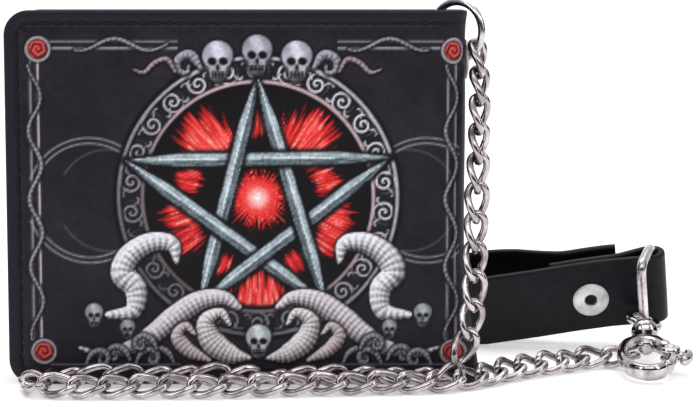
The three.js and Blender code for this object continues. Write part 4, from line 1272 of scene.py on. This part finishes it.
front_line = turned_line(-STRAP_LONG, BEND_MIDDLE, BELT_BEND, BEND_SPLIT, 270, 22)
front_line += [(x, -RING_FOLD) for x in np.linspace(-STRAP_LONG + 2, -2, 22)]
front_line += turned_line(0, 0, RING_FOLD, -90, 90, 14)
front_line += [(-1.5, RING_FOLD - 0.1), (-5, RING_FOLD * 0.5), (-9.5, RETURN_SIDE + 0.3)]
front_line += [(x, RETURN_SIDE) for x in (-13, -20, -27)]
tail_line = [(x, TAIL_SIDE) for x in (-9, -15, -23)] + [(-27, 6.7), (-36, 10.8), TAIL_ROOT]
tail_line += turned_line(-STRAP_LONG, BEND_MIDDLE, BELT_BEND, 96, BEND_SPLIT, 4)

# Handling has left the strap wavy: it rises a little by the stud and droops towards its bend.
RISE_AT = [-STRAP_LONG - 8, -STRAP_LONG, -32, -20, -12, 0]
RISE = [-0.8, -0.8, -0.2, 0.6, 0.9, 0.7]
EASED_EDGE = 0.65
CREASE_INSET, CREASE_WIDE, CREASE_DEEP = 1.7, 0.28, 0.12


def leather_strip(line, backwards=False):
    """A strip on edge along a line in the strap's own frame, with eased edges and a slight swell."""
    line = through([(x, y, 0) for x, y in line], 0.7)
    ahead = np.gradient(line, axis=0)
    ahead /= np.linalg.norm(ahead, axis=1, keepdims=True)
    out = np.stack([ahead[:, 1], -ahead[:, 0], 0 * ahead[:, 0]], 1) * (-1 if backwards else 1)
    far = arc_lengths(line)
    up = spaced(0, STRAP_WIDE, 1.0)
    z = np.broadcast_to(up, (len(line), len(up))).copy()
    inside = np.minimum(z, STRAP_WIDE - z)
    ease = rounded_in(inside, EASED_EDGE)
    swell = 0.10 * np.clip(inside / 5, 0, 1) + 0.07 * np.sin(far / 6.3)[:, None] * np.sin(z / 7.0)
    crease = CREASE_DEEP * np.exp(-(((inside - CREASE_INSET) / CREASE_WIDE) ** 2))
    outer = line[:, None] + out[:, None] * (STRAP_THICKNESS / 2 + swell - ease - crease)[..., None]
    inner = line[:, None] - out[:, None] * (STRAP_THICKNESS / 2 - ease)[..., None]
    outer[..., 2] = inner[..., 2] = z + np.interp(line[:, 0], RISE_AT, RISE)[:, None]
    if backwards:
        outer, inner = outer[::-1], inner[::-1]
    return moved(slab(outer, inner), strap_place)


finish_piece(
    "belt_strap", leather_strip(front_line), strap_leather, "front_half", ["strap_front"]
)
strap_tail = finish_piece(
    "belt_strap_tail", leather_strip(tail_line, True), strap_leather, None, ["strap_tail"]
)
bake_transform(strap_tail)


# ---------------------------------------------------------------- press stud
# A four-part ring snap in nickel-plated brass. A hollow post with a wide flange on the strap's face is
# riveted to its stud behind, and a spring socket is riveted under a domed cap on the tail.
SNAP_FROM_BAR = 17.0
on_strap = (
    strap_place
    @ Matrix.Translation((-SNAP_FROM_BAR, 0, STRAP_WIDE / 2))
    @ Matrix.Rotation(math.radians(-90), 4, "X")
)
FRONT_FACE = -RING_FOLD - STRAP_THICKNESS / 2
SNAP_BASE = RETURN_SIDE + STRAP_THICKNESS / 2
TAIL_INNER = TAIL_SIDE - STRAP_THICKNESS / 2
TAIL_OUTER = TAIL_SIDE + STRAP_THICKNESS / 2


def snap_part(name, node, profile, ease, material=nickel_press, body="front_half"):
    """One turned part of the press stud, from its profile of (radius, height through the strap)."""
    finish_piece(name, moved(lathe(eased(profile, ease)), on_strap), material, body, [node])


flange = FRONT_FACE - STRAP_GAP
post = [
    (1.5, SNAP_BASE), (1.9, SNAP_BASE), (1.9, flange + 0.1), (4.75, flange), (4.75, flange - 0.15),
    (4.2, flange - 0.52), (2.6, flange - 0.6), (1.75, flange - 0.5), (1.5, flange),
]
snap_part("snap_flanged_post", "snap_post", post, 0.25)
stud_foot, stud_top = SNAP_BASE + STRAP_GAP, SNAP_BASE + 0.9
stud = [
    (0.6, stud_foot), (4.2, stud_foot), (4.2, stud_top), (1.9, stud_top), (1.8, stud_top + 0.6),
    (2.2, stud_top + 1.4), (1.7, stud_top + 2.2), (0.6, stud_top + 2.2),
]
snap_part("snap_stud_button", "snap_stud", stud, 0.25)
socket_low, socket_high = TAIL_INNER - 2.8, TAIL_INNER - STRAP_GAP
socket = [
    (2.9, socket_low), (4.2, socket_low), (4.8, socket_low + 1.5), (4.8, socket_high), (2.9, socket_high),
]
snap_part("snap_spring_socket", "snap_socket", socket, 0.3, body="tail")
cap_base = TAIL_OUTER + STRAP_GAP
cap = [
    (0.01, TAIL_INNER), (1.5, TAIL_INNER), (1.5, cap_base), (5.55, cap_base), (5.6, cap_base + 0.3),
    (4.2, cap_base + 1.02), (2.2, cap_base + 1.2), (0.01, cap_base + 1.2),
]
snap_part("snap_domed_cap", "snap_cap", cap, 0.3, chrome_wire, "tail")


# ---------------------------------------------------------------- strap ring
# A rectangular loop of chromed round wire; its hidden bar lies in the strap's fold.
LOOP_DEEP, LOOP_LOW, LOOP_HIGH, LOOP_CORNER = 11.5, -2.3, 22.3, 2.6
LOOP_SWING = math.radians(-21)
front_bar, low_bar, high_bar = -LOOP_DEEP + LOOP_CORNER, LOOP_LOW + LOOP_CORNER, LOOP_HIGH - LOOP_CORNER
loop = []
for corner_y, corner_z, start in (
    (-LOOP_CORNER, high_bar, 0),
    (front_bar, high_bar, 90),
    (front_bar, low_bar, 180),
    (-LOOP_CORNER, low_bar, 270),
):
    loop += [(0, y, z) for y, z in turned_line(corner_y, corner_z, LOOP_CORNER, start, start + 90, 10)]
strap_ring = moved(
    tube(loop, BAR_RADIUS, (1, 0, 0), 20, True), strap_place @ Matrix.Rotation(LOOP_SWING, 4, "Z")
)
finish_piece("strap_ring_wire", strap_ring, chrome_wire, "strap_loop", ["strap_ring"])


# ---------------------------------------------------------------- swivel clasp
# A die-cast zinc lobster hook, polished and chromed. A sprung gate with a thumb lever closes it, and a
# swivel with a ball collar and an eye joins it to the strap ring.
clasp_place = (
    Matrix.Translation((100.9, 3.2, 4.4))
    @ Matrix.Rotation(math.radians(-6.5), 4, "Z")
    @ Matrix.Rotation(math.radians(8), 4, "X")
)
HOOK_WIDE, HOOK_LONG = 7.4, 13.5
OPENING_WIDE, OPENING_LONG, OPENING_FORWARD = 4.6, 10.2, 0.8
PIVOT = (5.8, 2.7)
HOOK_HALF_THICK, GATE_HALF_THICK, TONGUE_HALF_THICK = 2.0, 1.7, 0.66
GATE_REACH = 11.35  # from its pivot to the end of its tip
SQUARED = 2.8  # power of a cast bar's section: 2 is an ellipse, and more is squarer
# Chrome plate over a polished zinc casting: a dark mirror, soft only where the casting is a little uneven.
cast_chrome = plated_metal("chromed_zinc_casting", "#7a7376", "#dcd5d6", 0.08, 2.2)


def hook_band(start, end, count):
    """Middle line and half width of the oval band between two angles, in degrees."""
    angles = np.radians(np.linspace(start, end, count))
    outer = np.stack([HOOK_WIDE * np.cos(angles), HOOK_LONG * np.sin(angles)], 1)
    inner = np.stack([OPENING_WIDE * np.cos(angles), OPENING_LONG * np.sin(angles) - OPENING_FORWARD], 1)
    middle = (outer + inner) / 2
    half = np.linalg.norm(outer - inner, axis=1) / 2
    return np.column_stack([middle, np.zeros(count)]), half


def oval_bar(line, half_wide, half_thick, sides=18):
    """A cast bar with rounded section: its width is in the clasp's plane, its thickness across it."""
    verts, faces = tube(line, 1.0, (0, 0, 1), sides)
    line = np.asarray(line, float)
    verts = verts.reshape(len(line), sides, 3)
    offset = verts - line[:, None]
    across = offset.copy()
    across[..., 2] = 0
    deep = offset[..., 2]
    unit = np.stack([deep, np.linalg.norm(across, axis=-1)], -1)
    full = 1 / (np.abs(unit) ** SQUARED).sum(-1) ** (1 / SQUARED)
    wide = np.broadcast_to(np.asarray(half_wide, float), (len(line),))[:, None, None]
    thick = np.broadcast_to(np.asarray(half_thick, float), (len(line),))[:, None]
    verts = line[:, None] + across * full[..., None] * wide
    verts[..., 2] += deep * full * thick
    return verts.reshape(-1, 3), faces


def tapered(count, first, last):
    """Factors that round off the first and last few sections of a bar."""
    factors = np.ones(count)
    factors[:first] = np.sqrt(1 - (1 - (np.arange(first) + 0.3) / first) ** 2)
    factors[-last:] = np.sqrt(1 - (1 - (np.arange(last) + 0.3) / last) ** 2)[::-1]
    return factors


hook_line, hook_half = hook_band(27, 314, 84)
hook_round = tapered(len(hook_line), 5, 4)
body_part = oval_bar(hook_line, hook_half * hook_round, HOOK_HALF_THICK * hook_round)
neck_y = [9.6, 10.6, 12, 13.5, 15, 16, 16.6, 16.95]
neck_wide = [2.0, 3.0, 3.5, 3.5, 3.4, 3.35, 3.1, 2.5]
neck_thick = [1.4, 1.9, 2.0, 2.0, 2.1, 2.15, 2.0, 1.6]
neck_part = oval_bar([(0, y, 0) for y in neck_y], neck_wide, neck_thick, 24)
at_pivot = Matrix.Translation((*PIVOT, 0))
cheek = eased([(0.82, 0.95), (2.55, 0.95), (2.6, 1.3), (2.3, 1.95), (0.82, 2.0)], 0.3)
ears = [moved(lathe([(radius, side * height) for radius, height in cheek], 36), at_pivot) for side in (-1, 1)]
clasp_hook = moved(joined([body_part, neck_part, *ears]), clasp_place)
finish_piece("clasp_hook_casting", clasp_hook, cast_chrome, "front_half", ["clasp_hook"])

pin_profile = eased([(0.01, -2.15), (0.72, -2.15), (0.75, 2.15), (0.01, 2.15)], 0.2)
gate_pin = moved(lathe(pin_profile, 24), clasp_place @ at_pivot)
finish_piece("clasp_gate_rivet", gate_pin, nickel_press, "front_half", ["gate_pin"])

# Bare spring steel: drawn, so dull grey with a grain along the wire.
spring_wire = plated_metal("drawn_spring_steel_wire", "#6b6b6e", "#a9a9ac", 0.3, 0.4)
SPRING_TURNS, SPRING_RADIUS, SPRING_WIRE = 5, 0.5, 0.28
spring_start, spring_end = np.array([5.1, 5.8, 0]), np.array([4.4, 7.8, 0])
spring_way = (spring_end - spring_start) / np.linalg.norm(spring_end - spring_start)
spring_side, spring_up = np.array([-spring_way[1], spring_way[0], 0]), np.array([0, 0, 1.0])
share = np.linspace(0, 1, 120)[:, None]
coil_turn = 2 * math.pi * SPRING_TURNS * share
coil = spring_start + share * (spring_end - spring_start)
coil = coil + SPRING_RADIUS * (np.cos(coil_turn) * spring_side + np.sin(coil_turn) * spring_up)
gate_spring = moved(tube(coil, SPRING_WIRE / 2, spring_way, 8), clasp_place)
finish_piece("clasp_gate_spring", gate_spring, spring_wire, "front_half", ["gate_spring"])

gate_line, gate_half = hook_band(-44, 0, 22)
in_reach = np.hypot(gate_line[:, 0] - PIVOT[0], gate_line[:, 1] - PIVOT[1]) < GATE_REACH
gate_line, gate_half = gate_line[in_reach], gate_half[in_reach]
gate_round = tapered(len(gate_line), 3, 3)
gate_part = oval_bar(gate_line, gate_half * gate_round, GATE_HALF_THICK * gate_round)
lever_line = [(9.6, 3.6), (10.1, 2.8), (10.3, 1.4), (10.2, 0.0), (9.7, -1.4), (9.0, -2.6), (8.3, -3.5)]
lever_line = through([(x, y, 0) for x, y in lever_line], 0.35)
lever_round = tapered(len(lever_line), 4, 4)
lever_part = oval_bar(lever_line, 1.15 * lever_round, 1.3 * lever_round)
tongue_line = [(6.2, -2.6, 0), (6.2, -1, 0), (5.9, 1, 0), (5.8, 2.7, 0), (5.8, 3.8, 0)]
tongue_part = oval_bar(tongue_line, [1.0, 1.1, 1.4, 1.9, 1.2], TONGUE_HALF_THICK)
root_part = oval_bar([(6, 2.6, 0), (8, 2.5, 0), (10, 2.2, 0)], [1.2, 1.2, 1.0], TONGUE_HALF_THICK)
clasp_gate = moved(joined([gate_part, lever_part, tongue_part, root_part]), clasp_place)
finish_piece("clasp_gate_lever", clasp_gate, cast_chrome, "gate", ["clasp_gate"])

# The swivel's post is turned: a head inside the hook, a stem through its neck, a ball collar and a foot.
EYE_Y, EYE_MIDDLE, EYE_WIRE = 29.5, 4.0, 2.0
EYE_TILT = math.radians(18)
BALL_START, BALL_LONG, BALL_RADIUS, LEAST_RADIUS = 17.35, 5.6, 3.5, 1.5
ball_share = np.linspace(0.03, 0.97, 18)
ball_y = BALL_START + BALL_LONG * ball_share
ball_r = np.maximum(BALL_RADIUS * np.sqrt(1 - (2 * ball_share - 1) ** 2), LEAST_RADIUS)
turned_y = [6.85, 7.0, 7.9, 8.1, 8.2, 17.1, 17.3, *ball_y, 23.2, 24.2, 25.2, 25.8]
turned_r = [0.9, 1.9, 2.0, 1.6, 1.2, 1.2, 2.0, *ball_r, 1.6, 1.45, 1.5, 1.2]
post_part = tube([(0, y, 0) for y in turned_y], turned_r, (1, 0, 0), 28)
eye_turn = np.linspace(0, 2 * math.pi, 56, endpoint=False)
eye_line = np.stack([EYE_MIDDLE * np.cos(eye_turn), EYE_MIDDLE * np.sin(eye_turn), 0 * eye_turn], 1)
eye_place = Matrix.Translation((0, EYE_Y, 0)) @ Matrix.Rotation(EYE_TILT, 4, "Y")
eye_part = moved(tube(eye_line, EYE_WIRE / 2, (0, 0, 1), 16, True), eye_place)
clasp_eye = moved(joined([post_part, eye_part]), clasp_place)
finish_piece("clasp_swivel_eye", clasp_eye, cast_chrome, "swivel", ["clasp_eye"])


# ---------------------------------------------------------------- floor and studio light
# A plain white sweep under the object, and large soft lamps, as for a catalogue.
# Matt white paint on a curved sheet. It glows a little, as a sweep lit from under its far end does.
floor_paint, floor_shader, floor_place = start_material(
    "matt_white_sweep", Roughness=0.9, Emission_Color=[*linear("#ffffff"), 1.0], Emission_Strength=0.32
)
floor_mottle = add_node(
    floor_paint, "ShaderNodeTexNoise", {"Vector": floor_place, "Scale": 3.0, "Detail": 2.0}
).outputs["Fac"]
add_node(
    floor_paint,
    "ShaderNodeValToRGB",
    {"Fac": floor_mottle},
    {"Color": floor_shader["Base Color"]},
    stops=[(0.3, "#f4f4f5"), (0.7, "#f8f8f8")],
)
# The sweep's section in metres, from the front to the back wall, and how far it lies under the object.
SWEEP = [(-3.0, 0), (0.7, 0), (1.1, 0.05), (1.35, 0.22), (1.45, 0.5), (1.5, 2.5)]
SWEEP_HALF_WIDE, SWEEP_UNDER = 3, 0.0002
sweep_verts = [(x, y, z - SWEEP_UNDER) for y, z in SWEEP for x in (-SWEEP_HALF_WIDE, SWEEP_HALF_WIDE)]
sweep_faces = [[2 * i, 2 * i + 1, 2 * i + 3, 2 * i + 2] for i in range(len(SWEEP) - 1)]
sweep_mesh = bpy.data.meshes.new("sweep")
sweep_mesh.from_pydata(sweep_verts, [], sweep_faces)
sweep_mesh.materials.append(floor_paint)
sweep_mesh.shade_smooth()
sweep = bpy.data.objects.new("sweep", sweep_mesh)
bpy.context.scene.collection.objects.link(sweep)

# The room that the metal reflects: pale above and dark along the sides, which draws the wires' outlines.
world = bpy.data.worlds.new("studio")
world.use_nodes = True
bpy.context.scene.world = world
background = world.node_tree.nodes["Background"].inputs
background["Strength"].default_value = 0.6
direction = add_node(world, "ShaderNodeTexCoord").outputs["Generated"]
height = add_node(world, "ShaderNodeSeparateXYZ", {"Vector": direction}).outputs["Z"]
add_node(
    world,
    "ShaderNodeValToRGB",
    {"Fac": height},
    {"Color": background["Color"]},
    stops=[(0.0, "#6c6a70"), (0.05, "#1b1a1e"), (0.3, "#26252a"), (0.42, "#dcdce2"), (0.8, "#ffffff")],
)


def lamp(name, place, aim, size, watts, colour="#ffffff"):
    """A soft rectangular lamp, aimed at a place. Places and sizes are in metres."""
    data = bpy.data.lights.new(name, "AREA")
    data.shape = "RECTANGLE"
    data.size, data.size_y = size
    data.energy = watts
    data.color = linear(colour)
    made = bpy.data.objects.new(name, data)
    made.location = place
    made.rotation_euler = (Vector(aim) - Vector(place)).to_track_quat("-Z", "Y").to_euler()
    bpy.context.scene.collection.objects.link(made)


lamp("overhead", (0.0, 0.25, 1.3), (0.03, 0.1, 0), (1.4, 1.2), 8.5)
lamp("front_softbox", (0.05, -1.1, 1.0), (0.02, 0, 0.04), (1.3, 0.45), 5)
lamp("left_softbox", (-0.9, -0.7, 0.5), (0, 0, 0.04), (0.3, 0.8), 2.4, "#eeeeff")
lamp("right_softbox", (1.0, -0.6, 0.6), (0.03, 0, 0.04), (0.3, 0.8), 2.4, "#eeeeff")

bpy.context.scene.view_settings.view_transform = "Standard"
